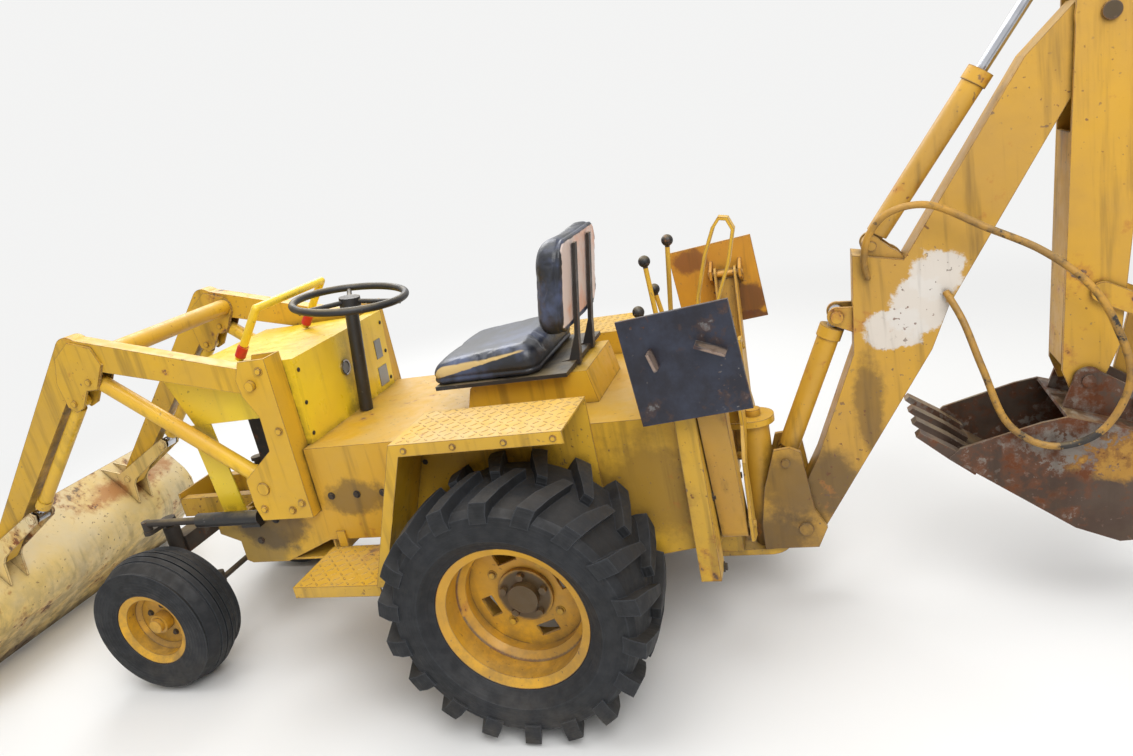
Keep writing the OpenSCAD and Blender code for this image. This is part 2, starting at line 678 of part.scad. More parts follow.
module swing_post() {
    ear = boom_w / 2 + gap;
    color(yellow) {
        translate([swing_x, 0, 176]) cylinder(r = 22, h = 474);
        translate([swing_x, 0, 216 + seat_gap]) cylinder(r = 42, h = 394 - 2 * seat_gap);
        for (y0 = [-ear - 14, ear]) side(y0, 14) polygon([[-640, 222], [-755, 222], [-785, 285],
            [-755, 345], [-735, 530], [-705, 545], [-660, 540], [-620, 420], [-600, 300], [-600, 222]]);
        translate([-655, -ear, 240]) cube([30, 2 * ear, 160]);
        for (y0 = [-ear, 20 + gap / 2]) side(y0, ear - 20 - gap / 2) translate(boom_cyl_foot) circle(26);
    }
    color(steel) {
        cross_pin(boom_foot, -ear - 22, ear + 22, 20);
        cross_pin(boom_cyl_foot, -ear - 22, ear + 22, 12);
    }
}

module boom() {
    outline_in = [[-925, 1070], [-1050, 1040], [-1345, 1480], [-1440, 1470], [-1432, 1362],
        [-1150, 905], [-1102, 790], [-830, 357], [-735, 410], [-780, 500], [-905, 800]];
    outline = [[-690, 330], [-780, 500], [-905, 800], [-925, 1070], [-1050, 1040], [-1345, 1480],
        [-1455, 1580], [-1580, 1500], [-1432, 1362], [-1150, 905], [-1102, 790], [-775, 270], [-720, 240]];
    color(yellow) {
        difference() {
            side(-boom_w / 2, boom_w) {
                polygon(outline);
                translate(boom_foot) circle(55);
                translate(boom_tip) circle(68);
            }
            side(-boom_w / 2 + plate, boom_w - 2 * plate) polygon(inset(outline_in, plate));
            cross_pin(boom_foot, -100, 100, 20 + run);
            cross_pin(boom_tip, -100, 100, 20 + run);
        }
        // Lugs for the boom cylinder's rod and the dipper cylinder's barrel
        for (s = [-1, 1]) {
            side(s * 31 - 6, 12) bar_outline(boom_cyl_eye, boom_cyl_eye + [-70, -20], 26, 40);
            side(s * 31 - 6, 12) bar_outline(dipper_cyl_foot, dipper_cyl_foot + [-30, -60], 26, 50);
        }
        cross_pin(dipper_cyl_foot, -45, 45, 12);
        for (s = [-1, 1]) cross_pin(boom_cyl_eye, s * 43 - 6, s * 43 + 6, 17);
    }
}

// Slack hydraulic hose that hangs beside the boom
module hoses_boom() {
    color(yellow) hose(curve(hose_path, 4), 9);
}

module boom_barrel() {
    color(black) aim(boom_cyl_foot, boom_cyl_eye) barrel(30, boom_closed, 40, 12, 15);
}

module boom_rod() {
    color(chrome) aim(boom_cyl_eye, boom_cyl_foot) cylinder_rod(15, boom_closed, 44, 12);
}

module dipper() {
    cheek = [[-1580, 1545], [-1515, 1795], [-1460, 1795], [-1445, 1540], [-1400, 700], [-1420, 640],
        [-1480, 640], [-1530, 760], [-1590, 1380]];
    color(yellow) {
        difference() {
            union() {
                for (y0 = [-dipper_half, tip_half]) side(y0, dipper_half - tip_half) {
                    polygon(cheek);
                    translate(boom_tip) circle(72);
                    translate(dipper_end) circle(36);
                    translate(dipper_cyl_eye) circle(34);
                }
                // Front, back and closing webs between the cheeks
                side(-tip_half, 2 * tip_half) {
                    polygon([[-1432, 1290], [-1400, 715], [-1408, 715], [-1440, 1290]]);
                    polygon([[-1590, 1380], [-1530, 760], [-1522, 760], [-1582, 1380]]);
                    polygon([[-1530, 760], [-1522, 760], [-1486, 665], [-1494, 665]]);
                }
            }
            cross_pin(dipper_end, -200, 200, 16 + run);
            cross_pin(rocker_pin, -200, 200, 14 + run);
        }
        for (s = [-1, 1]) side(s * 36 - 6, 12)
            bar_outline(dig_cyl_foot, dig_cyl_foot + [68, -40], 25, 34);
        cross_pin(dig_cyl_foot, -46, 46, 12);
        for (s = [-1, 1]) cross_pin(dipper_cyl_eye, s * (dipper_half + 4) - 4, s * (dipper_half + 4) + 4, 20);
        cross_pin(boom_tip, -dipper_half - 10, dipper_half + 10, 20);
    }
}

module dipper_barrel() {
    color(yellow) aim(dipper_cyl_foot, dipper_cyl_eye) barrel(28, dipper_closed, 36, 12, 15);
}

module dipper_rod() {
    color(chrome) aim(dipper_cyl_eye, dipper_cyl_foot) cylinder_rod(15, dipper_closed, 60, 14);
}

module dig_barrel() {
    color(yellow) aim(dig_cyl_foot, rocker_eye) barrel(24, dig_closed, 32, 12, 13);
}

module dig_rod() {
    color(chrome) aim(rocker_eye, dig_cyl_foot) cylinder_rod(13, dig_closed, 32, 12);
}

module rocker() {
    color(yellow) for (s = [-1, 1]) side(s * (ear_in + 5) - 5, 10) bar_outline(rocker_pin, rocker_eye, 26, 24);
    color(steel) {
        cross_pin(rocker_pin, -ear_out, ear_out, 14);
        cross_pin(rocker_eye, -link_in - 16, -17, 12);
        cross_pin(rocker_eye, 17, link_in + 16, 12);
    }
}

module bucket_link() {
    color(yellow) for (s = [-1, 1]) difference() {
        side(s * (link_in + 5) - 5, 10) bar_outline(rocker_eye, link_eye, 24, 24);
        cross_pin(rocker_eye, -200, 200, 12 + run);
    }
    color(steel) for (s = [-1, 1]) cross_pin(link_eye, s * (link_in + 14) - 4, s * (link_in + 14) + 4, 18);
}

// Shell of the dig bucket from the top of its mouth, round the back and the floor to its lip
dig_shell = [[-1390, 610], [-1610, 535], [-1700, 490], [-1724, 410], [-1692, 320], [-1610, 262],
    [-1500, 256], [-1400, 300], [-1112, 520]];

module dig_bucket() {
    color(rust) {
        side(-dig_w / 2, dig_w) polygon(sheet_line(dig_shell, 8));
        both_sides() side(dig_w / 2 - 8, 8) polygon(concat(dig_shell, [[-1140, 545], [-1330, 600]]));
        both_sides() difference() {
            side(ear_in, 10) {
                translate(dipper_end) circle(34);
                translate(link_eye) circle(26);
                polygon([[-1395, 606], [-1600, 537], link_eye + [-24, 10], link_eye + [-8, 25],
                    dipper_end + [-10, 32], dipper_end + [34, 0]]);
            }
        }
        for (i = [0:teeth - 1]) side(-dig_w / 2 + 2 + i * (dig_w - 38) / (teeth - 1), 34)
            polygon([[-1172, 466], [-1112, 516], [-1036, 586], [-1048, 596], [-1128, 540], [-1186, 492]]);
    }
    color(steel) {
        cross_pin(dipper_end, -ear_out - 6, ear_out + 6, 16);
        for (s = [-1, 1]) cross_pin(link_eye, s * (ear_out + 2) - 2, s * (ear_out + 2) + 2, 16);
    }
}

module stabilizer_arm(left) {
    across_dir = [stab_dir[1], -stab_dir[0]];
    color(yellow) one_side(left) difference() {
        across(stab_x - 36, 72) bar_outline(stab_pivot, stab_tip, 34, 22, 0.6);
        // Open channel towards the middle of the machine
        across(stab_x - 28, 56) polygon([stab_pivot - 60 * stab_dir + 27 * across_dir,
            stab_tip + 40 * stab_dir + 14 * across_dir, stab_tip + 40 * stab_dir - 60 * across_dir,
            stab_pivot - 60 * stab_dir - 60 * across_dir]);
        long_pin(stab_pivot, stab_x - 60, stab_x + 60, 12 + run);
        long_pin(stab_tip, stab_x - 60, stab_x + 60, 10 + run);
    }
}

// Turns +Z onto the rear-view direction from p to q, with the origin at p
module aim_across(p, q) translate([stab_x, p[0], p[1]])
    rotate([-atan2(q[0] - p[0], q[1] - p[1]), 0, 0]) rotate([0, 0, 90]) children();

module stabilizer_barrel(left) {
    color(yellow) one_side(left) aim_across(stab_cyl_foot, stab_cyl_eye) barrel(20, stab_closed, 30, 10, 10);
}

module stabilizer_rod(left) {
    color(chrome) one_side(left) aim_across(stab_cyl_eye, stab_cyl_foot) cylinder_rod(10, stab_closed, 40, 8);
}

module pad(left) {
    color(steel) one_side(left) {
        translate([stab_x + 35, stab_tip[0] + 34, stab_tip[1] - 40]) rotate([0, 5, 0]) {
            translate([-pad_size / 2, 0, -pad_size / 2]) cube([pad_size, 10, pad_size]);
            // Cleats that bite into the ground
            translate([66, 8, 32]) rotate([0, 12, 0]) translate([-4, 0, -24]) cube([8, 44, 48]);
            translate([-76, 8, 34]) rotate([0, 62, 0]) translate([-4, 0, -38]) cube([8, 44, 76]);
        }
        for (x0 = [stab_x - 52, stab_x + 42]) across(x0, 10) polygon([[stab_tip[0] - 14, stab_tip[1] - 14],
            [stab_tip[0] - 14, stab_tip[1] + 14], [stab_tip[0] + 34, stab_tip[1] + 40],
            [stab_tip[0] + 34, stab_tip[1] - 40]]);
        long_pin(stab_tip, stab_x - 56, stab_x + 56, 10);
    }
}

module placed() translate([-mid_x, 0, 0]) children();

placed() rear_tyre(true);  // rear_tyre_left
placed() rear_tyre(false);  // rear_tyre_right
placed() rear_rim(true);  // rear_rim_left
placed() rear_rim(false);  // rear_rim_right
placed() front_tyre(true);  // front_tyre_left
placed() front_tyre(false);  // front_tyre_right
placed() front_rim(true);  // front_rim_left
placed() front_rim(false);  // front_rim_right
placed() main_frame();
placed() rear_axle_housing();
placed() front_axle_beam();
placed() knuckle(true);  // knuckle_left
placed() knuckle(false);  // knuckle_right
placed() tie_rod();
placed() steering_ram();
placed() drag_link();
placed() engine_block();
placed() hood();
placed() dash_cowl();
placed() hood_hoop();
placed() wheel_boxes();
placed() loader_towers();
placed() steering_column();
placed() steering_wheel();
placed() seat_pedestal();
placed() seat_pan();
placed() seat_cushion();
placed() seat_back();
placed() loader_arms();
placed() lift_barrels();
placed() lift_rods();
placed() curl_barrels();
placed() curl_rods();
placed() loader_bucket();
placed() backhoe_frame();
placed() control_levers();
placed() grab_loop();
placed() swing_post();
placed() boom();
placed() boom_barrel();
placed() boom_rod();
placed() dipper();
placed() dipper_barrel();
placed() dipper_rod();
placed() dig_barrel();
placed() dig_rod();
placed() rocker();
placed() bucket_link();
placed() dig_bucket();
placed() stabilizer_arm(true);  // stabilizer_arm_left
placed() stabilizer_arm(false);  // stabilizer_arm_right
placed() stabilizer_barrel(true);  // stabilizer_barrel_left
placed() stabilizer_barrel(false);  // stabilizer_barrel_right
placed() stabilizer_rod(true);  // stabilizer_rod_left
placed() stabilizer_rod(false);  // stabilizer_rod_right
placed() pad(true);  // pad_left
placed() pad(false);  // pad_right
placed() hoses_boom();
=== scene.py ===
import math

import bmesh
import bpy
from mathutils import Euler, Matrix, Vector
from mathutils.bvhtree import BVHTree
from mathutils.geometry import interpolate_bezier


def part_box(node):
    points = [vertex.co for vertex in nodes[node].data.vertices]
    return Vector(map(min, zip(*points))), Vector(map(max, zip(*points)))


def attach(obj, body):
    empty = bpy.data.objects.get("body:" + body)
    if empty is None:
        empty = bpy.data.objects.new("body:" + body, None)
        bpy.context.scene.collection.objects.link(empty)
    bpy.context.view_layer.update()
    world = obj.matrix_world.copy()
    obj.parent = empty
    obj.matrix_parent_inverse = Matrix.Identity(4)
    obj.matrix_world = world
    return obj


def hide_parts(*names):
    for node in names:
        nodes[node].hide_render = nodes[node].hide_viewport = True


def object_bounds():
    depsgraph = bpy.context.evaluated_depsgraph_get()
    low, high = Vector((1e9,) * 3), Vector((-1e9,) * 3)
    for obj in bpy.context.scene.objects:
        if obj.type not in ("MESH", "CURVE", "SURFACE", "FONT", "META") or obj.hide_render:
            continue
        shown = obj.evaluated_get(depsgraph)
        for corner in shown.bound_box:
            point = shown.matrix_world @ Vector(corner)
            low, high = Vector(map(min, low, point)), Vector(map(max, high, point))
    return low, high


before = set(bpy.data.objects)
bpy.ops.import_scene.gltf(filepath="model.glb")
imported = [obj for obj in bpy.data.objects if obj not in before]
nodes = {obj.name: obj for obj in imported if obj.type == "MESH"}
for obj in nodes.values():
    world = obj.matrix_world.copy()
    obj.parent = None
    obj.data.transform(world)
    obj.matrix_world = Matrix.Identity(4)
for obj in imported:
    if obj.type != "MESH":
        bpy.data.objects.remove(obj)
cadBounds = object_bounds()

scene = bpy.context.scene
shift = -0.314  # the source's points are measured from under the rear axle


def spot(x, y, z):  # a point of the source, in millimetres, as a place in the scene
    return Vector((x / 1000 + shift, y / 1000, z / 1000))


camera = {"yaw": 0.330, "pitch": 0.291, "roll": 0.206, "place": (-1.173, 2.317, 1.538), "lens": 26.31}


def setCamera():
    yaw, pitch, roll = camera["yaw"], camera["pitch"], camera["roll"]
    look = Vector((math.sin(yaw) * math.cos(pitch), -math.cos(yaw) * math.cos(pitch), -math.sin(pitch)))
    right = look.cross(Vector((0, 0, 1))).normalized()
    down = look.cross(right)
    right, down = (math.cos(roll) * right + math.sin(roll) * down,
                   -math.sin(roll) * right + math.cos(roll) * down)
    cam = bpy.data.cameras.new("camera")
    cam.lens, cam.sensor_width, cam.sensor_fit = camera["lens"], 36, "HORIZONTAL"
    cam.clip_start = 0.05
    holder = bpy.data.objects.new("camera", cam)
    turn = Matrix((right, -down, -look)).transposed().to_4x4()
    holder.matrix_world = Matrix.Translation(camera["place"]) @ turn
    scene.collection.objects.link(holder)
    scene.camera = holder


setCamera()
print("camera set")

# slack hydraulic hose beside the boom, from port to port, by the same points as the solid
hose = {"thick": 0.018, "steps": 10, "path": [
    (-958, 58.3, 1005), (-952, 82, 1062), (-970, 102, 1130), (-1022, 112, 1178), (-1114, 115, 1180),
    (-1232, 120, 1108), (-1349, 130, 1035), (-1440, 150, 945), (-1490, 165, 845), (-1518, 175, 705),
    (-1455, 182, 580), (-1345, 182, 548), (-1252, 172, 612), (-1205, 145, 755), (-1174, 100, 870),
    (-1142, 58.3, 945)]}


def makeHose():
    points = [spot(*p) for p in hose["path"]]
    line = bpy.data.curves.new("boomHose", "CURVE")
    line.dimensions, line.bevel_depth, line.bevel_resolution = "3D", hose["thick"] / 2, 3
    line.resolution_u, line.use_fill_caps = hose["steps"], True
    run = line.splines.new("BEZIER")  # smooth through every point
    run.bezier_points.add(len(points) - 1)
    for k, at in enumerate(points):
        before, after = points[max(k - 1, 0)], points[min(k + 1, len(points) - 1)]
        knot = run.bezier_points[k]
        knot.handle_left_type = knot.handle_right_type = "FREE"
        knot.co, knot.handle_left, knot.handle_right = at, at - (after - before) / 6, at + (after - before) / 6
    path = [points[0]]
    for a, b in zip(run.bezier_points, list(run.bezier_points)[1:]):
        path += interpolate_bezier(a.co, a.handle_right, b.handle_left, b.co, hose["steps"] + 1)[1:]
    guide = bpy.data.objects.new("hoseGuide", line)
    scene.collection.objects.link(guide)
    deps = bpy.context.evaluated_depsgraph_get()
    tube = bmesh.new()
    tube.from_mesh(bpy.data.meshes.new_from_object(guide.evaluated_get(deps), depsgraph=deps))
    bmesh.ops.remove_doubles(tube, verts=tube.verts, dist=0.0002)
    bmesh.ops.recalc_face_normals(tube, faces=tube.faces)
    mesh = bpy.data.meshes.new("boomHose")
    tube.to_mesh(mesh)
    tube.free()
    for face in mesh.polygons:
        face.use_smooth = len(face.vertices) == 4
    mesh.materials.clear()
    bpy.data.objects.remove(guide)
    piece = bpy.data.objects.new("boomHose", mesh)
    scene.collection.objects.link(piece)
    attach(piece, "boom_body")
    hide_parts("hoses_boom")
    return piece


boomHose = makeHose()
print("hose laid")

studio = {"floor": (0.80, 0.80, 0.79), "pale": (0.90, 0.90, 0.895), "skyLight": 0.52, "floorSize": 60.0,
          "near": 2.6, "far": 5.5, "below": 0.0006,
          "lamps": {"keyLamp": ((-2.6, 3.4, 4.2), (0, 0, 0.6), 3.0, 190),  # place, aim, size and power
                    "backLamp": ((2.4, -3.6, 4.4), (0, 0, 0.6), 3.0, 150),
                    "topLamp": ((0.2, 0.3, 5.2), (0, 0, 0.5), 3.6, 120)}}


def feed(socket, value):  # a link where the value comes from a node, or else the plain value
    if isinstance(value, bpy.types.NodeSocket):
        socket.id_data.links.new(value, socket)
    elif value is not None:
        socket.default_value = value


def nodeSet(tree):  # makes nodes in one tree: kind, what goes into the sockets, and the node's settings
    def add(kind, feeds={}, **settings):
        made = tree.nodes.new(kind)
        for key, value in settings.items():
            setattr(made, key, value)
        for key, value in feeds.items():
            feed(made.inputs[key], value)
        return made
    return add


def calc(kind, a, b=None, clamp=False):
    tree = (a if isinstance(a, bpy.types.NodeSocket) else b).id_data
    return nodeSet(tree)("ShaderNodeMath", {0: a, 1: b}, operation=kind, use_clamp=clamp).outputs[0]


def times(a, b, clamp=False):
    return calc("MULTIPLY", a, b, clamp)


def plus(a, b):
    return calc("ADD", a, b)


def vectorCalc(kind, a, b=None):
    made = nodeSet(a.id_data)("ShaderNodeVectorMath", {0: a, 1: b}, operation=kind)
    return made.outputs["Value" if kind in ("LENGTH", "DOT_PRODUCT") else "Vector"]


def ramp(value, low, high, start=0.0, end=1.0):
    return nodeSet(value.id_data)("ShaderNodeMapRange", {
        "Value": value, "From Min": low, "From Max": high, "To Min": start, "To Max": end},
        interpolation_type="SMOOTHSTEP").outputs["Result"]


def cloud(where, scale, detail=4.0, rough=0.6):
    return nodeSet(where.id_data)("ShaderNodeTexNoise", {
        "Vector": where, "Scale": scale, "Detail": detail, "Roughness": rough}).outputs["Fac"]


def blendIn(under, over, mask):
    made = nodeSet(mask.id_data)("ShaderNodeMix", {"Factor": mask}, data_type="RGBA")
    for label, value in (("A", under), ("B", over)):
        feed(next(s for s in made.inputs if s.name == label and s.type == "RGBA"), value)
    return next(s for s in made.outputs if s.type == "RGBA")


def newMaterial(name):
    made = bpy.data.materials.new(name)
    made.use_nodes = True
    return made, nodeSet(made.node_tree), made.node_tree.nodes["Principled BSDF"]


def newTree(name, kind, inputs, outputs):  # inputs are floats with the number they start at
    tree = bpy.data.node_groups.new(name, kind)
    if kind == "GeometryNodeTree":
        tree.interface.new_socket("Geometry", in_out="INPUT", socket_type="NodeSocketGeometry")
    for label, number in inputs.items():
        tree.interface.new_socket(label, in_out="INPUT", socket_type="NodeSocketFloat").default_value = number
    for label, socketKind in outputs.items():
        tree.interface.new_socket(label, in_out="OUTPUT", socket_type="NodeSocket" + socketKind)
    add = nodeSet(tree)
    return tree, add, add("NodeGroupInput").outputs, add("NodeGroupOutput").inputs


def setStudio():
    world = bpy.data.worlds.new("studio")
    scene.world = world
    world.use_nodes = True
    world.node_tree.nodes.clear()
    add = nodeSet(world.node_tree)
    path = add("ShaderNodeLightPath").outputs
    seen = calc("MAXIMUM", path["Is Camera Ray"], path["Is Glossy Ray"])
    seen = calc("MAXIMUM", seen, path["Is Transmission Ray"])
    pale = add("ShaderNodeBackground", {"Color": (*studio["pale"], 1)})
    sky = add("ShaderNodeBackground", {"Color": (1, 1, 1, 1), "Strength": studio["skyLight"]})
    mix = add("ShaderNodeMixShader", {0: seen, 1: sky.outputs[0], 2: pale.outputs[0]})
    add("ShaderNodeOutputWorld", {"Surface": mix.outputs[0]})
    half, low = studio["floorSize"] / 2, cadBounds[0][2] - studio["below"]
    floor = bpy.data.meshes.new("studioFloor")
    floor.from_pydata([(-half, -half, low), (half, -half, low), (half, half, low), (-half, half, low)], [],
                      [(0, 1, 2, 3)])
    holder = bpy.data.objects.new("studioFloor", floor)
    scene.collection.objects.link(holder)
    stone, add, shader = newMaterial("paleFloor")
    feed(shader.inputs["Base Color"], (*studio["floor"], 1))
    feed(shader.inputs["Roughness"], 0.9)
    away = vectorCalc("LENGTH", add("ShaderNodeTexCoord").outputs["Object"])
    fade = ramp(away, studio["near"], studio["far"])  # far from the machine the floor turns into the backdrop
    seenFloor = times(fade, add("ShaderNodeLightPath").outputs["Is Camera Ray"])
    glow = add("ShaderNodeEmission", {"Color": (*studio["pale"], 1)})
    blend = add("ShaderNodeMixShader", {0: seenFloor, 1: shader.outputs[0], 2: glow.outputs[0]})
    feed(stone.node_tree.nodes["Material Output"].inputs["Surface"], blend.outputs[0])
    floor.materials.append(stone)
    for name, (place, aim, size, power) in studio["lamps"].items():
        lamp = bpy.data.lights.new(name, "AREA")
        lamp.shape, lamp.size, lamp.energy = "SQUARE", size, power
        holder = bpy.data.objects.new(name, lamp)
        holder.location = place
        holder.rotation_euler = (Vector(aim) - Vector(place)).to_track_quat("-Z", "Y").to_euler()
        scene.collection.objects.link(holder)
    scene.view_settings.view_transform = "Standard"


setStudio()
print("studio set")


def makeEdgeWear():  # bare edges: where the rounded normal leaves the true one, broken up by noise
    tree, add, ins, outs = newTree("edgeWear", "ShaderNodeTree", {"Radius": 0.004, "Amount": 0.5}, {"Mask": "Float"})
    rounded = add("ShaderNodeBevel", {"Radius": ins["Radius"]}, samples=4)
    plain = add("ShaderNodeNewGeometry").outputs["Normal"]
    bend = ramp(vectorCalc("DOT_PRODUCT", rounded.outputs[0], plain), 0.995, 0.86)
    patch = cloud(add("ShaderNodeTexCoord").outputs["Object"], 9.0, 6.0, 0.7)
    least = calc("SUBTRACT", 0.78, ins["Amount"])
    feed(outs["Mask"], times(bend, ramp(patch, least, plus(least, 0.12)), True))
    return tree


def makeChips():  # flaked paint: two sizes of noise, sharp edged
    tree, add, ins, outs = newTree("paintChips", "ShaderNodeTree", {"Amount": 0.1},
                                   {"Mask": "Float", "Halo": "Float"})
    where = add("ShaderNodeTexCoord").outputs["Object"]
    both = plus(times(cloud(where, 3.2, 8.0, 0.68), 0.72), times(cloud(where, 34.0, 5.0, 0.6), 0.28))
    least = calc("SUBTRACT", 0.72, ins["Amount"])
    feed(outs["Mask"], ramp(both, least, plus(least, 0.02)))
    feed(outs["Halo"], ramp(both, calc("SUBTRACT", least, 0.045), least))
    return tree


def makeDust():  # dust on faces that look up, mud near the ground, streaks on upright faces
    tree, add, ins, outs = newTree("dustAndMud", "ShaderNodeTree", {"Dust": 0.4, "Mud": 0.4, "Reach": 0.5},
                                   {"Dust": "Float", "Mud": "Float", "Streak": "Float"})
    where = add("ShaderNodeTexCoord").outputs["Object"]
    upright = add("ShaderNodeSeparateXYZ", {0: add("ShaderNodeTexCoord").outputs["Normal"]}).outputs["Z"]
    height = add("ShaderNodeSeparateXYZ", {0: where}).outputs["Z"]
    settled = times(ramp(upright, 0.25, 0.95), ramp(cloud(where, 6.0, 6.0, 0.65), 0.35, 0.65))
    splash = times(ramp(height, ins["Reach"], 0.02), ramp(cloud(where, 11.0, 7.0, 0.7), 0.38, 0.62))
    long = add("ShaderNodeMapping", {"Vector": where, "Scale": (22, 22, 1.6)}).outputs[0]
    feed(outs["Dust"], times(settled, ins["Dust"], True))
    feed(outs["Mud"], times(splash, ins["Mud"], True))
    feed(outs["Streak"], times(ramp(cloud(long, 1.0), 0.5, 0.72), ramp(upright, 0.5, 0.1)))
    return tree


def makeGrain():  # fine unevenness as a normal
    tree, add, ins, outs = newTree("fineGrain", "ShaderNodeTree", {"Scale": 120.0, "Height": 0.1, "Dents": 0.2},
                                   {"Normal": "Vector"})
    where = add("ShaderNodeTexCoord").outputs["Object"]
    fine, wide = cloud(where, ins["Scale"], 3.0, 0.5), cloud(where, 7.0, 2.0, 0.5)
    bump = add("ShaderNodeBump", {"Strength": 0.35, "Distance": 0.01,
                                  "Height": plus(times(fine, ins["Height"]), times(wide, ins["Dents"]))})
    feed(outs["Normal"], bump.outputs[0])
    return tree


def makeCrevice():  # grime and painted shade laid into inside corners, found by ambient occlusion and broken up by noise, and small round specks knocked out of the paint
    tree, add, ins, outs = newTree("creviceShadeAndGrime", "ShaderNodeTree", {"Reach": 0.05, "Specks": 0.5},
                                   {"ShadeAndGrime": "Float", "Specks": "Float"})
    where = add("ShaderNodeTexCoord").outputs["Object"]
    shade = add("ShaderNodeAmbientOcclusion", {"Distance": ins["Reach"]}, samples=4)
    deep = ramp(shade.outputs["AO"], 0.82, 0.38)
    feed(outs["ShadeAndGrime"], times(deep, ramp(cloud(where, 18.0, 6.0, 0.7), 0.25, 0.6), True))
    dots = times(ramp(cloud(where, 75.0, 2.0, 0.5), 0.665, 0.69), ramp(cloud(where, 4.5), 0.45, 0.6))
    feed(outs["Specks"], times(dots, ins["Specks"], True))
    return tree


edgeWear, paintChips, dustAndMud, fineGrain = makeEdgeWear(), makeChips(), makeDust(), makeGrain()
creviceShadeAndGrime = makeCrevice()


def color(r, g, b):  # a colour as a picture shows it, 0 to 255, made linear
    shares = (r / 255, g / 255, b / 255)
    return tuple((c / 12.92 if c <= 0.04045 else ((c + 0.055) / 1.055) ** 2.4) for c in shares) + (1,)


def useGroup(add, group, **feeds):
    return add("ShaderNodeGroup", feeds, node_tree=group).outputs


def markMask(where, centre, reach, ragged, soft):  # an oval region, its edge broken up by noise
    size = vectorCalc("LENGTH", vectorCalc("DIVIDE", vectorCalc("SUBTRACT", where, spot(*centre)), reach))
    if ragged:
        rough = times(cloud(where, 14.0, 7.0, 0.7), ragged)
        size = plus(size, calc("SUBTRACT", rough, ragged / 2))
    return ramp(size, 1.0, 0.94 - soft)


def paint(name, look):  # painted, worn and dusty steel, driven by one dictionary
    stuff, add, shader = newMaterial(name)
    where = add("ShaderNodeTexCoord").outputs["Object"]
    tone = blendIn(look["base"], look["faded"], ramp(cloud(where, look["fadeScale"], 5.0, 0.62), 0.32, 0.68))
    for centre, reach, tint, ragged, soft, strength in look["marks"]:
        tone = blendIn(tone, tint, times(markMask(where, centre, reach, ragged, soft), strength))
    chips = useGroup(add, paintChips, Amount=look["chips"])
    worn = useGroup(add, edgeWear, Radius=look["edge"], Amount=look["wear"])
    corners = useGroup(add, creviceShadeAndGrime, Reach=0.05, Specks=look["specks"])
    dirt = useGroup(add, dustAndMud, Dust=look["dust"], Mud=look["mud"], Reach=look["reach"])
    bare = calc("MAXIMUM", calc("MAXIMUM", chips["Mask"], worn["Mask"]), corners["Specks"])
    metal = blendIn(look["bare"], look["rust"], ramp(cloud(where, 15.0, 6.0, 0.7), 0.4, 0.6))
    for over, mask in ((look["halo"], times(chips["Halo"], 0.55)), (metal, bare),
                       (look["grimeAndShade"], times(dirt["Streak"], look["streaks"])),
                       # grime and painted shade: the dark tone laid into inside corners where ambient occlusion finds
                       # them
                       (look["grimeAndShade"], times(corners["ShadeAndGrime"], look["corners"])),
                       (look["dustTone"], dirt["Dust"]), (look["mudTone"], dirt["Mud"])):
        tone = blendIn(tone, over, mask)
    rough = ramp(cloud(where, 26.0, 3.0, 0.5), 0.3, 0.7, look["rough"] - 0.07, look["rough"] + 0.09)
    grain = useGroup(add, fineGrain, Scale=look["grainScale"], Height=look["grain"], Dents=look["dents"])
    for label, value in (("Base Color", tone), ("Roughness", plus(rough, times(bare, 0.2))),
                         ("Metallic", look["metallic"]), ("Normal", grain["Normal"])):
        feed(shader.inputs[label], value)
    return stuff


oil, bareWhite, red, black = color(52, 40, 30), color(208, 202, 194), color(196, 40, 38), color(20, 20, 22)
oldYellow = {"base": color(213, 166, 34), "faded": color(196, 154, 52), "halo": color(170, 108, 40),
             "bare": color(104, 90, 76), "rust": color(104, 60, 34), "grimeAndShade": color(74, 56, 30),
             "dustTone": color(184, 162, 116), "mudTone": color(92, 78, 58), "chips": 0.09, "wear": 0.44,
             "dust": 0.34, "mud": 0.5, "streaks": 0.42, "rough": 0.48, "metallic": 0.0, "reach": 0.6,
             "edge": 0.004, "specks": 0.8, "corners": 0.75, "fadeScale": 2.4, "grainScale": 160.0, "grain": 0.05,
             "dents": 0.25, "marks": []}  # a mark: centre, reach, tint, raggedness, softness and strength
freshYellow = {**oldYellow, "base": color(240, 208, 44), "faded": color(230, 194, 52), "chips": 0.02, "wear": 0.28,
               "dust": 0.2, "mud": 0.1, "streaks": 0.16, "rough": 0.34, "specks": 0.5}
barrelYellow = {**freshYellow, "base": color(230, 186, 44), "faded": color(214, 166, 48), "streaks": 0.3,
                "chips": 0.05}
hoopYellow = {**freshYellow, "marks": [((910.3, y, 1069.2), (0.026, 0.03, 0.026), red, 0, 0, 1)
                                       for y in (190, -190)]}
balls = [(-352, 118, 1010), (-378, 50, 1136), (-436, -35, 1172), (-360, -110, 1020)]
leverYellow = {**oldYellow, "marks": [(at, (0.021, 0.021, 0.021), black, 0, 0, 1) for at in balls]}
frameYellow = {**oldYellow, "base": color(204, 157, 34), "chips": 0.10, "marks": [
    ((1020, 330, 450), (0.22, 0.08, 0.10), color(116, 98, 52), 0.8, 0.3, 0.7),
    ((560, 310, 600), (0.14, 0.06, 0.07), oil, 1.2, 0.3, 0.6),
    ((900, 310, 520), (0.16, 0.08, 0.10), oil, 1.0, 0.3, 0.75),
    ((-330, 200, 560), (0.20, 0.30, 0.22), color(110, 80, 36), 1.2, 0.4, 0.55)]}
fadedYellow = {**oldYellow, "base": color(198, 150, 40), "faded": color(178, 136, 56), "chips": 0.11, "wear": 0.5,
               "streaks": 0.5, "dust": 0.26, "marks": [
                   # painted shade: black discs on the dipper's top pin ends for the dark hole there
                   ((-1515, side * 110, 1540), (0.034, 0.05, 0.034), black, 0.1, 0.05, 0.9)
                   for side in (1, -1)]}
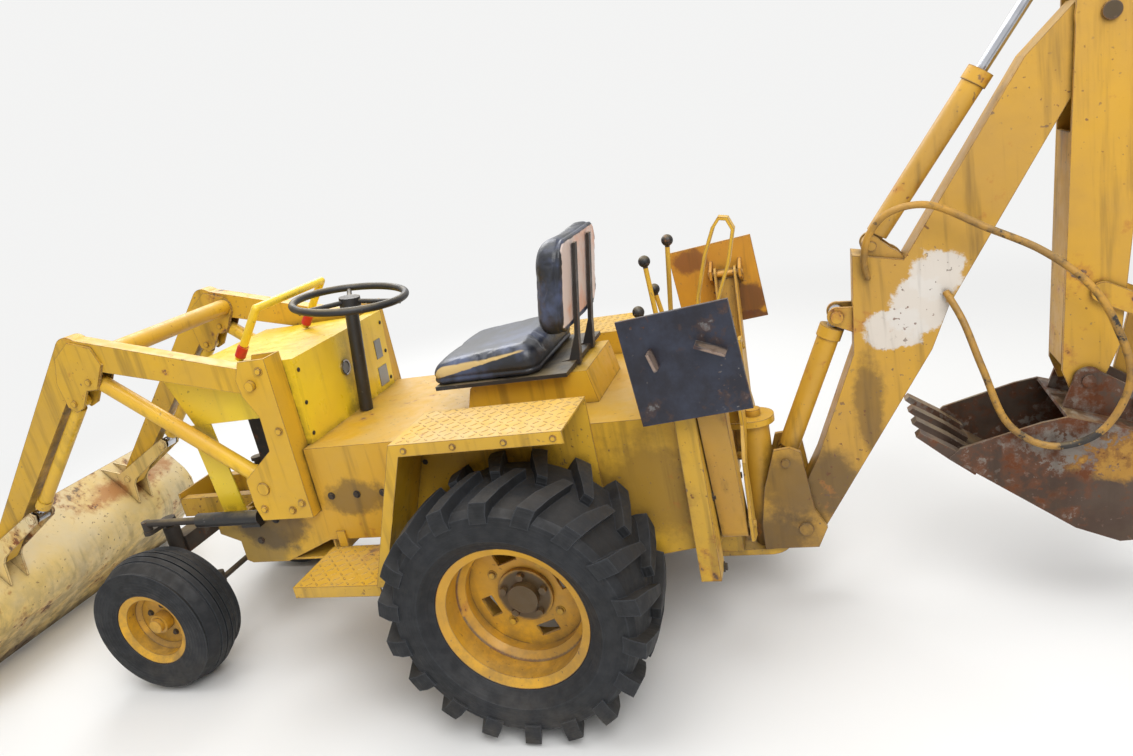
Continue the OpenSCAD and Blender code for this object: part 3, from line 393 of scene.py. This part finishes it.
boomYellow = {**fadedYellow, "marks": [
    ((-1125, 50, 985), (0.075, 0.02, 0.075), bareWhite, 1.5, 0.12, 0.9),
    ((-1080, 50, 915), (0.085, 0.02, 0.085), bareWhite, 1.6, 0.12, 0.9),
    ((-1015, 50, 858), (0.085, 0.02, 0.06), bareWhite, 1.6, 0.12, 0.88),
    ((-800, 40, 420), (0.11, 0.05, 0.15), oil, 1.0, 0.4, 0.7),
    ((-935, 40, 640), (0.05, 0.05, 0.20), color(70, 50, 30), 1.3, 0.4, 0.6)]}
postYellow = {**fadedYellow, "marks": [((-700, 60, 430), (0.12, 0.06, 0.16), oil, 1.2, 0.5, 0.6),
                                       ((-640, 40, 260), (0.16, 0.10, 0.12), oil, 1.1, 0.5, 0.7)]}
wheelYellow = {**oldYellow, "base": color(220, 166, 36), "faded": color(196, 146, 44), "chips": 0.05, "mud": 0.6,
               "reach": 0.62, "streaks": 0.2, "marks": [
                   ((0, side * 509, 370), (0.082, 0.07, 0.082), color(46, 38, 30), 0.3, 0.1, 0.9)
                   for side in (1, -1)]}
bucketYellow = {**oldYellow, "base": color(226, 194, 112), "faded": color(214, 198, 160), "chips": 0.17, "wear": 0.6,
                "rust": color(126, 70, 34), "streaks": 0.4, "mud": 0.7, "reach": 0.45, "marks": [
                    ((2290, 300, 250), (0.20, 0.5, 0.07), color(158, 92, 42), 1.0, 0.3, 0.8),
                    ((2200, -350, 420), (0.12, 0.4, 0.08), color(168, 104, 50), 1.2, 0.3, 0.8)]}
padYellow = {**oldYellow, "base": color(208, 150, 34), "faded": color(190, 132, 40), "chips": 0.14, "wear": 0.62,
             "rust": color(98, 54, 34), "specks": 1.0, "marks": [
                 ((-510, -420, 812), (0.20, 0.03, 0.035), color(104, 60, 36), 1.4, 0.2, 0.9),
                 ((-600, -420, 880), (0.08, 0.03, 0.06), color(104, 60, 36), 1.6, 0.3, 0.85),
                 ((-430, -420, 1030), (0.07, 0.03, 0.05), color(120, 70, 38), 1.6, 0.3, 0.8)]}
darkIron = {**oldYellow, "base": color(52, 48, 46), "faded": color(70, 62, 54), "halo": color(84, 60, 44),
            "bare": color(94, 86, 78), "chips": 0.12, "wear": 0.3, "rough": 0.62, "streaks": 0.4,
            "grimeAndShade": color(40, 34, 28), "metallic": 0.35, "dents": 0.4}
engineIron = {**darkIron, "base": color(40, 40, 44), "faded": color(54, 48, 44), "metallic": 0.2, "marks": [
    ((870, 190, 600), (0.05, 0.02, 0.05), color(58, 88, 140), 0.9, 0.1, 0.8),
    ((930, 190, 500), (0.08, 0.02, 0.06), color(120, 92, 48), 1.0, 0.1, 0.8)]}
barePlate = {**oldYellow, "base": color(54, 58, 72), "faded": color(42, 42, 50), "halo": color(78, 58, 48),
             "bare": color(110, 108, 108), "rust": color(86, 56, 42), "chips": 0.11, "wear": 0.55, "rough": 0.4,
             "metallic": 0.45, "streaks": 0.3, "grimeAndShade": color(44, 38, 36), "mud": 0.1, "dust": 0.12, "specks": 1.0,
             "fadeScale": 12.0, "marks": [
                 ((-444, 456, 970), (0.034, 0.025, 0.034), color(156, 134, 118), 0.5, 0.1, 0.85),
                 ((-586, 456, 972), (0.046, 0.025, 0.034), color(156, 134, 118), 0.5, 0.1, 0.85)]}
wornSteel = {**oldYellow, "base": color(88, 74, 64), "faded": color(72, 54, 44), "halo": color(104, 62, 38),
             "bare": color(128, 120, 112), "chips": 0.18, "wear": 0.6, "rough": 0.5, "metallic": 0.55,
             "streaks": 0.4, "grimeAndShade": color(54, 42, 34), "marks": [
                 ((-1560, 155, 490), (0.22, 0.03, 0.08), color(180, 134, 56), 1.1, 0.25, 0.85)]}
blackMetal = {**oldYellow, "base": color(26, 26, 27), "faded": color(40, 38, 36), "halo": color(58, 48, 40),
              "bare": color(92, 88, 84), "chips": 0.06, "wear": 0.35, "rough": 0.42, "dust": 0.3, "mud": 0.2,
              "streaks": 0.2, "grimeAndShade": color(52, 44, 36)}
chromeRod = {**oldYellow, "base": color(196, 198, 204), "faded": color(176, 178, 184), "halo": color(150, 144, 138),
             "bare": color(120, 112, 104), "chips": 0.02, "wear": 0.1, "rough": 0.2, "metallic": 1.0,
             "dust": 0.2, "mud": 0.1, "streaks": 0.12, "grimeAndShade": color(110, 96, 82), "dents": 0.02, "grain": 0.02}
blackPlastic = {**blackMetal, "base": color(22, 22, 24), "faded": color(34, 34, 36), "bare": color(60, 60, 62),
                "rust": color(60, 58, 56), "chips": 0.0, "wear": 0.2, "rough": 0.48}
hoseCover = {**blackPlastic, "base": color(184, 136, 46), "faded": color(132, 100, 50), "halo": color(96, 76, 46),
             "bare": color(50, 46, 42), "rust": color(40, 36, 34), "chips": 0.16, "rough": 0.6, "fadeScale": 6.0}
dialGrey = {**blackPlastic, "base": color(150, 152, 154), "faded": color(128, 130, 130), "dust": 0.5, "rough": 0.4}

finishes = {name: paint(name, look) for name, look in {
    "oldYellowPaint": oldYellow, "hoodYellowPaint": freshYellow, "barrelYellowPaint": barrelYellow,
    "hoopYellowPaint": hoopYellow, "leverYellowPaint": leverYellow, "frameYellowPaint": frameYellow,
    "backhoeYellowPaint": fadedYellow, "boomYellowPaint": boomYellow, "postYellowPaint": postYellow,
    "engineIron": engineIron, "hoseCover": hoseCover, "dialGrey": dialGrey, "wheelYellowPaint": wheelYellow,
    "bucketYellowPaint": bucketYellow, "padYellowPaint": padYellow, "darkIron": darkIron,
    "blueBlackPlate": barePlate, "wornBucketSteel": wornSteel, "blackPaint": blackMetal,
    "chromeRod": chromeRod, "blackPlastic": blackPlastic}.items()}


def makeRubber(name, look):  # tyre rubber: dusty in the hollows, paler at the lug tops with scuffs and a painted highlight of the sunlit lug tops
    stuff, add, shader = newMaterial(name)
    where = add("ShaderNodeTexCoord").outputs["Object"]
    tone = blendIn(look["base"], look["faded"], ramp(cloud(where, 4.0, 6.0, 0.65), 0.35, 0.65))
    worn = useGroup(add, edgeWear, Radius=0.006, Amount=0.6)
    dirt = useGroup(add, dustAndMud, Dust=look["dust"], Mud=look["mud"], Reach=look["reach"])
    # scuffs and painted highlight: a pale bluish grey on the lug edges
    for over, mask in ((look["scuffAndHighlight"], times(worn["Mask"], 0.5)), (look["dustTone"], dirt["Dust"]),
                       (look["dustTone"], dirt["Mud"])):
        tone = blendIn(tone, over, mask)
    feed(shader.inputs["Base Color"], tone)
    feed(shader.inputs["Roughness"], ramp(cloud(where, 30.0, 3.0), 0.3, 0.7, 0.62, 0.84))
    fromHub = vectorCalc("MULTIPLY", vectorCalc("SUBTRACT", where, spot(*look["hub"])), (1, 0, 1))
    wave = calc("SINE", times(vectorCalc("LENGTH", fromHub), look["rings"]))  # moulded rings on the side walls
    facing = add("ShaderNodeSeparateXYZ", {0: add("ShaderNodeTexCoord").outputs["Normal"]}).outputs["Y"]
    rings = times(ramp(wave, 0.2, 0.9), ramp(calc("ABSOLUTE", facing), 0.55, 0.9))
    grain = useGroup(add, fineGrain, Scale=240.0, Height=0.06, Dents=0.1)
    bump = add("ShaderNodeBump", {"Strength": 0.5, "Distance": 0.0012, "Height": rings, "Normal": grain["Normal"]})
    feed(shader.inputs["Normal"], bump.outputs[0])
    return stuff


rearRubber = {"base": color(15, 16, 18), "faded": color(25, 27, 31), "scuffAndHighlight": color(66, 70, 76), "dust": 0.22,
              "mud": 0.4, "reach": 0.22, "dustTone": color(84, 78, 70), "hub": (0, 0, 370), "rings": 420}
frontRubber = {**rearRubber, "mud": 0.3, "hub": (1370, 0, 240), "rings": 520}
for name, look in (("rearTyreRubber", rearRubber), ("frontTyreRubber", frontRubber)):
    finishes[name] = makeRubber(name, look)
print("finishes made")


def pair(name):
    return [name + "_left", name + "_right"]


# which finish each carried-over node wears
wears = {
    "rearTyreRubber": pair("rear_tyre"), "frontTyreRubber": pair("front_tyre"),
    "wheelYellowPaint": pair("rear_rim") + pair("front_rim"),
    "oldYellowPaint": ["wheel_boxes", "loader_towers", "loader_arms", "seat_pedestal", "grab_loop"],
    "frameYellowPaint": ["main_frame", "backhoe_frame"], "barrelYellowPaint": ["lift_barrels", "curl_barrels"],
    "hoodYellowPaint": ["hood", "dash_cowl"], "hoopYellowPaint": ["hood_hoop"],
    "leverYellowPaint": ["control_levers"], "boomYellowPaint": ["boom"], "postYellowPaint": ["swing_post"],
    "backhoeYellowPaint": ["boom_barrel", "dipper", "dipper_barrel", "dig_barrel", "rocker", "bucket_link"]
    + pair("stabilizer_arm") + pair("stabilizer_barrel"),
    "padYellowPaint": ["pad_right"], "blueBlackPlate": ["pad_left"], "bucketYellowPaint": ["loader_bucket"],
    "wornBucketSteel": ["dig_bucket"], "engineIron": ["engine_block"],
    "darkIron": ["rear_axle_housing", "front_axle_beam", "tie_rod", "drag_link"] + pair("knuckle"),
    "chromeRod": ["lift_rods", "curl_rods", "boom_rod", "dipper_rod", "dig_rod"] + pair("stabilizer_rod"),
    "blackPaint": ["steering_ram", "steering_column", "seat_pan"], "blackPlastic": ["steering_wheel"]}
for finish, members in wears.items():
    for member in members:
        nodes[member].data.materials.clear()
        nodes[member].data.materials.append(finishes[finish])
boomHose.data.materials.append(finishes["hoseCover"])
print("nodes dressed")

# the pads' edges are rings from the under side to the top: how far each is set in, and its height
seat = {"voxel": 0.0056, "pressure": 4.0, "frames": 20, "cushionCap": 0.009, "backCap": 0.008, "fill": 0.8,
        "vinyl": color(30, 32, 38), "sheen": color(66, 76, 104), "worn": color(222, 204, 196),
        "foam": color(188, 160, 104), "lean": 0.17, "back": spot(-150, 0, 975), "gap": 0.0008,
        "cushionEdges": [(0.006, 0.0), (0.001, 0.10), (0.0, 0.30), (0.002, 0.58), (0.007, 0.76), (0.015, 0.89),
                         (0.026, 0.96), (0.045, 1.0), (0.08, 1.0), (0.12, 1.0), (0.16, 1.0)],
        "backEdges": [(0.006, 0.0), (0.001, 0.006), (0.0, 0.018), (0.0, 0.046), (0.004, 0.058), (0.011, 0.067),
                      (0.022, 0.072), (0.04, 0.075), (0.07, 0.077), (0.1, 0.078), (0.125, 0.078)]}


def makeVinyl(name, shine, rear=None, side=None):  # black vinyl, with a worn panel where one is given
    stuff, add, shader = newMaterial(name)
    where = add("ShaderNodeTexCoord").outputs["Object"]
    place = add("ShaderNodeSeparateXYZ", {0: where}).outputs
    chips = useGroup(add, paintChips, Amount=0.05)
    # painted sheen: noise patches of a bluish highlight tone laid into the vinyl's base colour
    tone = blendIn(seat["vinyl"], seat["sheen"], ramp(cloud(where, 9.0), 0.42, 0.72))
    tone = blendIn(tone, color(96, 82, 68), chips["Mask"])
    rough = cloud(where, 30.0, 6.0, 0.7)
    if side:  # bared foam along the upper edge of the side
        rising = plus(plus(place["Z"], times(rough, 0.008)), times(place["X"], side["rise"]))
        upper = ramp(rising, side["low"], side["low"] + 0.003)
        across = ramp(calc("ABSOLUTE", place["Y"]), side["out"] - 0.004, side["out"])
        along = ramp(place["X"], side["from"], side["from"] + 0.05)
        tone = blendIn(tone, seat["foam"], times(upper, times(across, along)))
    if rear:  # the back panel: bare, stained board inside the vinyl's turned rim
        plane = seat["back"].x + seat["lean"] * seat["back"].z
        mask = ramp(plus(place["X"], times(place["Z"], seat["lean"])), plane + 0.007, plane + 0.005)
        for axis, low, high in (("Y", -rear["wide"], rear["wide"]), ("Z", rear["low"], rear["high"])):
            ragged = plus(place[axis], times(rough, 0.012))
            mask = times(mask, ramp(ragged, low, low + 0.004))
            mask = times(mask, ramp(ragged, high + 0.010, high + 0.006))
        stain = ramp(cloud(where, 22.0, 8.0, 0.75), 0.62, 0.72)
        panel = blendIn(seat["worn"], color(226, 176, 150), ramp(cloud(where, 7.0), 0.45, 0.65))
        tone = blendIn(tone, blendIn(panel, color(120, 92, 78), stain), mask)
    grain = add("ShaderNodeTexVoronoi", {"Vector": where, "Scale": 420}).outputs["Distance"]
    bump = add("ShaderNodeBump", {"Strength": 0.2, "Distance": 0.0015, "Height": grain})
    for label, value in (("Base Color", tone), ("Roughness", shine), ("Normal", bump.outputs[0])):
        feed(shader.inputs[label], value)
    return stuff


sideFoam = {"low": 0.9014, "rise": 0.18, "from": spot(-40, 0, 0).x, "out": 0.192}
rearPanel = {"wide": 0.186, "low": 1.012, "high": 1.236}
finishes["seatVinyl"] = makeVinyl("seatVinyl", 0.3, side=sideFoam)
finishes["backVinyl"] = makeVinyl("backVinyl", 0.36, rear=rearPanel)


def newPiece(name, mesh, finish):
    mesh.materials.clear()
    mesh.materials.append(finishes[finish])
    piece = bpy.data.objects.new(name, mesh)
    scene.collection.objects.link(piece)
    return piece


def evened(piece, kind, **settings):  # the mesh after one modifier, which doesn't stay
    step = piece.modifiers.new("step", kind)
    for label, value in settings.items():
        setattr(step, label, value)
    deps = bpy.context.evaluated_depsgraph_get()
    mesh = bpy.data.meshes.new_from_object(piece.evaluated_get(deps), depsgraph=deps)
    piece.modifiers.remove(step)
    finish = piece.data.materials[0]
    mesh.materials.clear()
    mesh.materials.append(finish)
    piece.data = mesh


def puff(piece, cap):  # cloth under pressure swells the pad, each point held within the cap, then one subdivision
    bpy.context.view_layer.objects.active = piece
    evened(piece, "REMESH", mode="VOXEL", voxel_size=seat["voxel"])
    rest = [v.co.copy() for v in piece.data.vertices]
    cloth = piece.modifiers.new("cloth", "CLOTH")
    cloth.settings.use_pressure = True
    cloth.settings.uniform_pressure_force = seat["pressure"]
    cloth.settings.effector_weights.gravity = 0
    for frameNumber in range(1, seat["frames"] + 1):
        scene.frame_set(frameNumber)
    deps = bpy.context.evaluated_depsgraph_get()
    swollen = bpy.data.meshes.new_from_object(piece.evaluated_get(deps), depsgraph=deps)
    piece.modifiers.remove(cloth)
    for v, home in zip(swollen.vertices, rest):
        move = v.co - home
        if move.length > cap:
            v.co = home + move.normalized() * cap
    piece.data = swollen
    scene.frame_set(1)
    evened(piece, "SUBSURF", levels=1, render_levels=1)
    for face in piece.data.polygons:
        face.use_smooth = True
    return piece


def loop(low, high, round, inset, count=9):  # a rounded rectangle whose sides pull in a little between its corners
    (x0, y0), (x1, y1) = low, high
    corners, points, radius = [], [], max(round - inset, 0.006)
    for k, (cx, cy) in enumerate(((x1, y1), (x0, y1), (x0, y0), (x1, y0))):
        cx += (inset + radius) * (1 if cx == x0 else -1)
        cy += (inset + radius) * (1 if cy == y0 else -1)
        turns = [math.pi / 2 * (k + j / (count - 1)) for j in range(count)]
        corners.append([Vector((cx + radius * math.cos(a), cy + radius * math.sin(a), 0)) for a in turns])
    for here, after in zip(corners, corners[1:] + corners[:1]):
        points += here + [here[-1].lerp(after[0], j / 8) for j in range(1, 8)]
    return points


def padShape(low, high, round, place, edges):  # rings from the under side over the edge to the top, closed by caps
    bm = bmesh.new()
    rings = [[bm.verts.new(place(p.x, p.y, height)) for p in loop(low, high, round, inset)]
             for inset, height in edges]
    for a, b in zip(rings, rings[1:]):
        for k in range(len(a)):
            j = (k + 1) % len(a)
            bm.faces.new((a[k], a[j], b[j], b[k]))
    bm.faces.new(rings[0][::-1])
    bm.faces.new(rings[-1])
    bmesh.ops.recalc_face_normals(bm, faces=bm.faces)
    return bm


def asMesh(bm, name):
    mesh = bpy.data.meshes.new(name)
    bm.to_mesh(mesh)
    bm.free()
    return mesh


def groove(piece, away, depth, width):  # a sewn channel pulled into the pad where away() is near nothing
    pulls = []
    for v in piece.data.vertices:
        near = away(v.co, v.normal)
        pulls.append(v.normal * (depth * math.exp(-(near / width) ** 2)) if near < width * 3 else Vector())
    for v, pull in zip(piece.data.vertices, pulls):
        v.co -= pull


def onSeat(pad, node):
    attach(pad, "seat")
    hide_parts(node)


def makeSeat():
    low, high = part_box("seat_cushion")
    front, rear, under = high.x - 0.008, low.x + 0.008, low.z + 0.0005
    drop = 0.030 / 0.305  # the top falls towards the front

    def cushionPlace(x, y, height):
        crown = 0.004 * (1 - (2 * y / (high.y - low.y)) ** 2)
        top = high.z - 0.010 - max(0.0, x - (low.x + 0.05)) * drop + crown
        return Vector((x, y * (1 - 0.012 * math.cos(math.pi * (x - rear) / (front - rear) - math.pi / 2)),
                       under + (top - under) * height))

    bm = padShape((rear, low.y + 0.007), (front, high.y - 0.007), 0.05, cushionPlace, seat["cushionEdges"])
    cushion = puff(newPiece("seatCushion", asMesh(bm, "seatCushion"), "seatVinyl"), seat["cushionCap"])

    def cushionSeams(co, normal):  # one seam round the sides, above the vinyl's turned lower edge
        return abs(co.z - under - 0.020) if abs(normal.z) < 0.6 else 1

    groove(cushion, cushionSeams, 0.0035, 0.005)
    for v in cushion.data.vertices:
        v.co.z = max(v.co.z, under)
    onSeat(cushion, "seat_cushion")
    low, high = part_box("seat_back")

    def rearFace(z):
        return seat["back"].x + seat["gap"] - seat["lean"] * (z - seat["back"].z)

    def backPlace(y, z, depth):
        return Vector((rearFace(z) + depth, y, z))

    bm = padShape((low.y + 0.006, low.z + 0.006), (high.y - 0.006, high.z - 0.007), 0.068, backPlace,
                  seat["backEdges"])
    back = puff(newPiece("seatBackrest", asMesh(bm, "seatBackrest"), "backVinyl"), seat["backCap"])

    def backSeams(co, normal):
        return abs(co.x - rearFace(co.z) - 0.016) if abs(normal.x) < 0.6 else 1

    groove(back, backSeams, 0.003, 0.005)
    for v in back.data.vertices:  # flat against the board behind, which sits a little inside the rim
        v.co.x = max(v.co.x, rearFace(v.co.z) + (0.0025 if abs(v.co.y) < 0.19 and 1.0 < v.co.z < 1.24 else 0))
    onSeat(back, "seat_back")


makeSeat()
print("seat padded")


def growInto(piece, tree, values):  # runs the tree once and keeps its result as a plain mesh
    grown = piece.modifiers.new(tree.name, "NODES")
    grown.node_group = tree
    for item in tree.interface.items_tree:
        if item.item_type == "SOCKET" and item.in_out == "INPUT" and item.name in values:
            grown[item.identifier] = values[item.name]
    deps = bpy.context.evaluated_depsgraph_get()
    mesh = bpy.data.meshes.new_from_object(piece.evaluated_get(deps), depsgraph=deps)
    piece.modifiers.remove(grown)
    piece.data = mesh
    return piece


def carry(piece, body):
    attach(piece, body)


def seeds(name, spots):  # points that carry a direction and a size for what grows on them
    mesh = bpy.data.meshes.new(name)
    mesh.from_pydata([s[0] for s in spots], [], [])
    turn = mesh.attributes.new("turn", "FLOAT_VECTOR", "POINT")
    size = mesh.attributes.new("size", "FLOAT_VECTOR", "POINT")
    for k, s in enumerate(spots):
        toward, about = Vector(s[1]).to_track_quat("Z", "Y"), s[3] if len(s) > 3 else 0.0
        turn.data[k].vector = (toward @ Euler((0, 0, about)).to_quaternion()).to_euler()
        size.data[k].vector = (s[2],) * 3 if isinstance(s[2], (int, float)) else s[2]
    piece = bpy.data.objects.new(name, mesh)
    scene.collection.objects.link(piece)
    return piece


def instanceTree(name, inputs, makeShape, finish):  # a shape on every seed, by the seed's own turn and size
    tree, add, ins, outs = newTree(name, "GeometryNodeTree", inputs, {"Geometry": "Geometry"})
    shape = makeShape(add, ins)
    points = add("GeometryNodeMeshToPoints", {0: ins["Geometry"]}).outputs[0]
    turn, size = (add("GeometryNodeInputNamedAttribute", {"Name": own}, data_type="FLOAT_VECTOR").outputs["Attribute"]
                  for own in ("turn", "size"))
    turned = add("FunctionNodeEulerToRotation", {0: turn}).outputs[0]
    placed = add("GeometryNodeInstanceOnPoints", {"Points": points, "Instance": shape, "Rotation": turned,
                                                  "Scale": size}).outputs[0]
    real = add("GeometryNodeRealizeInstances", {0: placed}).outputs[0]
    feed(outs[0], add("GeometryNodeSetMaterial", {"Geometry": real, "Material": finishes[finish]}).outputs[0])
    return tree


def boltShape(add, ins):  # hexagon head on a round washer, sunk a little into what it holds
    head = add("GeometryNodeMeshCylinder", {"Vertices": 6, "Radius": ins["Across"], "Depth": ins["Head"]})
    washer = add("GeometryNodeMeshCylinder", {"Vertices": 20, "Radius": times(ins["Across"], 1.35), "Depth": 0.004})
    lift = add("ShaderNodeCombineXYZ", {"Z": times(ins["Head"], 0.5)}).outputs[0]
    move = add("GeometryNodeTransform", {"Geometry": head.outputs["Mesh"], "Translation": lift})
    join = add("GeometryNodeJoinGeometry", {0: move.outputs[0]})
    feed(join.inputs[0], washer.outputs["Mesh"])
    return join.outputs[0]


yellowBolts, ironBolts = (instanceTree(name, {"Across": 0.010, "Head": 0.008}, boltShape, finish)
                          for name, finish in (("yellowBolts", "oldYellowPaint"), ("ironBolts", "darkIron")))
shells = {}


def onSkin(node, start, toward):  # where a ray first meets a node, so that a bolt sits on its surface
    if node not in shells:
        mesh, home = nodes[node].data, nodes[node].matrix_world
        shells[node] = BVHTree.FromPolygons([home @ v.co for v in mesh.vertices], [p.vertices for p in mesh.polygons])
    hit = shells[node].ray_cast(start, Vector(toward))
    return hit[0], (hit[1] if hit[1] is None or hit[1].dot(Vector(toward)) < 0 else -hit[1])


def settle(node, places, toward, about=0.3):  # seeds for bolts where each ray lands
    rows = []
    for k, place in enumerate(places):
        at, normal = onSkin(node, place, toward)
        if at:
            rows.append((at, tuple(normal), 1, about + 0.7 * k))
        else:
            print("no skin of", node, "at", [round(c, 3) for c in place])
    return rows


def circle(centre, axis, radius, count):
    side = Vector(axis).orthogonal().normalized()
    other = Vector(axis).normalized().cross(side)
    turns = [2 * math.pi * (k + 0.25) / count for k in range(count)]
    return [centre + side * math.cos(a) * radius + other * math.sin(a) * radius for a in turns]


def bolts(name, body, spots, across, head, tree):
    carry(growInto(seeds(name, spots), tree, {"Across": across, "Head": head}), body)


fixings = {"frame": ((470, 610), (560, 610), (650, 610), (880, 540), (960, 470), (300, 700), (390, 720)),
           "tower": ((730, 612), (770, 590), (870, 600), (735, 1040), (730, 850)),
           "fender": ((-190, 832), (-60, 832), (80, 832), (220, 832)),
           "back": ((290, 300), (290, 520), (180, 700)), "dash": (262, (800, 900, 1005)),
           "hubs": {"rear": (0, 370, 0.104, 8, 0.010, yellowBolts),  # x, z, radius, count, size and kind
                    "front": (1370, 240, 0.056, 5, 0.008, ironBolts)}}


def makeFixings():  # bolts land where a ray from outside meets the solid
    frameRow, towerRow, fenderRow, backRow = [], [], [], []
    for side, hand in ((1, "left"), (-1, "right")):
        inward = (0, -side, 0)
        for row, node, places in ((frameRow, "main_frame", "frame"), (towerRow, "loader_towers", "tower"),
                                  (fenderRow, "wheel_boxes", "fender")):
            row += settle(node, [spot(x, side * 700, z) for x, z in fixings[places]], inward)
        backRow += settle("backhoe_frame", [spot(-900, side * y, z) for y, z in fixings["back"]], (1, 0, 0))
        for name, (x, z, radius, count, across, tree) in fixings["hubs"].items():
            rows = settle(name + "_rim_" + hand, circle(spot(x, side * 900, z), (0, 1, 0), radius, count), inward)
            bolts(name + "HubBolts" + hand.title(), name + "_wheel_" + hand, rows, across, 0.008,
                  tree)
    out, heights = fixings["dash"]
    dashRow = settle("dash_cowl", [spot(300, y, z) for y in (-out, out) for z in heights], (1, 0, 0))
    for name, slot, row, across, head, tree in (
            ("frameBolts", "grimy_iron", frameRow, 0.009, 0.007, ironBolts),
            ("towerBolts", "yellow_paint", towerRow, 0.010, 0.008, yellowBolts),
            ("fenderBolts", "yellow_paint", fenderRow, 0.007, 0.005, yellowBolts),
            ("dashScrews", "grimy_iron", dashRow, 0.005, 0.003, ironBolts),
            ("backFrameBolts", "grimy_iron", backRow, 0.011, 0.009, ironBolts)):
        bolts(name, "chassis", row, across, head, tree)


makeFixings()

# plates: y, z, half width and half height; the gauge: y, z and radius
dash = {"plates": ((-215, 921, 34, 22), (-215, 823, 34, 30)), "gauge": (16, 930, 26), "thick": 0.003, "sides": 40}


def onDash(bm, name, finish, at, normal):
    turn = normal.to_track_quat("Z", "Y").to_matrix().to_4x4()
    bmesh.ops.transform(bm, matrix=turn, verts=bm.verts)
    bmesh.ops.translate(bm, vec=at, verts=bm.verts)
    carry(newPiece(name, asMesh(bm, name), finish), "chassis")


def makeDash():  # two blank plates and a round gauge on the sloping rear face of the dash
    for k, (y, z, halfWide, halfTall) in enumerate(dash["plates"]):
        at, normal = onSkin("dash_cowl", spot(300, y, z), (1, 0, 0))
        bm = bmesh.new()
        bmesh.ops.create_cube(bm, size=1)
        bmesh.ops.scale(bm, vec=(halfTall / 500, halfWide / 500, dash["thick"]), verts=bm.verts)
        bmesh.ops.bevel(bm, geom=list(bm.edges), offset=0.0008, segments=2, affect="EDGES")
        onDash(bm, "dashPlate" + str(k), "dialGrey", at + normal * dash["thick"] * 0.3, normal)
    y, z, radius = dash["gauge"]
    sides = dash["sides"]
    at, normal = onSkin("dash_cowl", spot(300, y, z), (1, 0, 0))
    for name, inner, outer, low, high, finish in (("gaugeRim", 0.8, 1.0, -0.002, 0.006, "chromeRod"),
                                                  ("gaugeFace", 0.0, 0.84, -0.002, 0.003, "dialGrey")):
        bm = bmesh.new()
        rings = []
        for share, height in [(outer, low), (outer, high)] + ([(inner, high), (inner, low)] if inner else []):
            turns = [math.pi * j / (sides / 2) for j in range(sides)]
            rings.append([bm.verts.new((math.cos(a) * share * radius / 1000, math.sin(a) * share * radius / 1000,
                                        height)) for a in turns])
        for a, b in zip(rings, rings[1:] + (rings[:1] if inner else [])):
            for j in range(sides):
                bm.faces.new((a[j], a[(j + 1) % sides], b[(j + 1) % sides], b[j]))
        if not inner:
            bm.faces.new(rings[0][::-1])
            bm.faces.new(rings[1])
        bmesh.ops.recalc_face_normals(bm, faces=bm.faces)
        onDash(bm, name, finish, at, normal)


makeDash()
print("fixings and dash made")


def scaleShape(add, ins):  # one rounded scale of a weld bead
    return add("GeometryNodeMeshUVSphere", {"Segments": 7, "Rings": 5, "Radius": ins["Width"]}).outputs["Mesh"]


welds = {"pitch": 0.0046, "width": 0.0048}
yellowWelds = instanceTree("yellowWelds", {"Width": 0.005}, scaleShape, "oldYellowPaint")


def bead(points, closed=False):  # scales along a line, each a little turned
    rows, path = [], points + (points[:1] if closed else [])
    for a, b in zip(path, path[1:]):
        count = max(1, round((b - a).length / welds["pitch"]))
        for k in range(count):
            wobble = math.sin(len(rows) * 2.4) * 0.0005
            rows.append((a.lerp(b, k / count) + Vector((wobble, 0, -wobble)), tuple((b - a).normalized()),
                         (1.0 + 0.12 * math.sin(len(rows) * 1.7), 0.9, 0.62)))
    return rows


def makeWelds():  # round the arms' cross tube, along the arms' gussets and up the towers
    armRows, frameRows = [], []
    for side in (1, -1):
        armRows += bead(circle(spot(1330, side * 297, 1142), (0, 1, 0), 0.0315, 24), True)
        for y in (346.5, 297.5):
            armRows += bead([spot(x, side * y, z) for x, z in ((1300, 1122), (1350, 1045), (1392, 1045))])
            armRows += bead([spot(x, side * y, z) for x, z in ((1500, 1080), (1470, 1160))])
        frameRows += bead([spot(712, side * 290, z) for z in (566, 700, 860, 1070)])
        frameRows += bead([spot(x, side * 322, 564) for x in (712, 890)])
    for name, body, rows in (("armWelds", "loader", armRows), ("towerWelds", "chassis", frameRows)):
        carry(growInto(seeds(name, rows), yellowWelds, {"Width": welds["width"]}), body)


makeWelds()
print("welds laid")

# ribs of tread plate; each plate by its start and end along x, and its height
treads = {"pitch": 0.026, "inner": 0.330, "outer": 0.548, "length": 0.012, "height": 0.0014,
          "plates": {"fender": (-205, 255, 850), "step": (418, 690, 435)}}


def ribShape(add, ins):  # one long raised rib, few faces
    ball = add("GeometryNodeMeshUVSphere", {"Segments": 6, "Rings": 4, "Radius": 1.0})
    size = add("ShaderNodeCombineXYZ", {"X": ins["Length"], "Y": times(ins["Length"], 0.26), "Z": ins["Height"]})
    return add("GeometryNodeTransform", {"Geometry": ball.outputs["Mesh"], "Scale": size.outputs[0]}).outputs[0]


treadPlate = instanceTree("treadPlate", {"Length": 0.013, "Height": 0.0012}, ribShape, "oldYellowPaint")


def makeTreadPlates():  # neighbouring ribs lean opposite ways
    pitch = treads["pitch"]
    for name, (x0, x1, z) in treads["plates"].items():
        for hand, side in (("Left", 1), ("Right", -1)):
            row, y, k = [], treads["inner"], 0
            while y < treads["outer"]:
                x, j = x0 / 1000 + shift, 0
                while x < x1 / 1000 + shift:
                    row.append(((x, side * y, z / 1000), (0, 0, 1), 1, math.radians(45 if (j + k) % 2 else -45)))
                    x, j = x + pitch, j + 1
                y, k = y + pitch, k + 1
            ribs = growInto(seeds(name + "Ribs" + hand, row), treadPlate,
                            {"Length": treads["length"], "Height": treads["height"]})
            carry(ribs, "chassis")


makeTreadPlates()
print("bolts and tread plate grown")
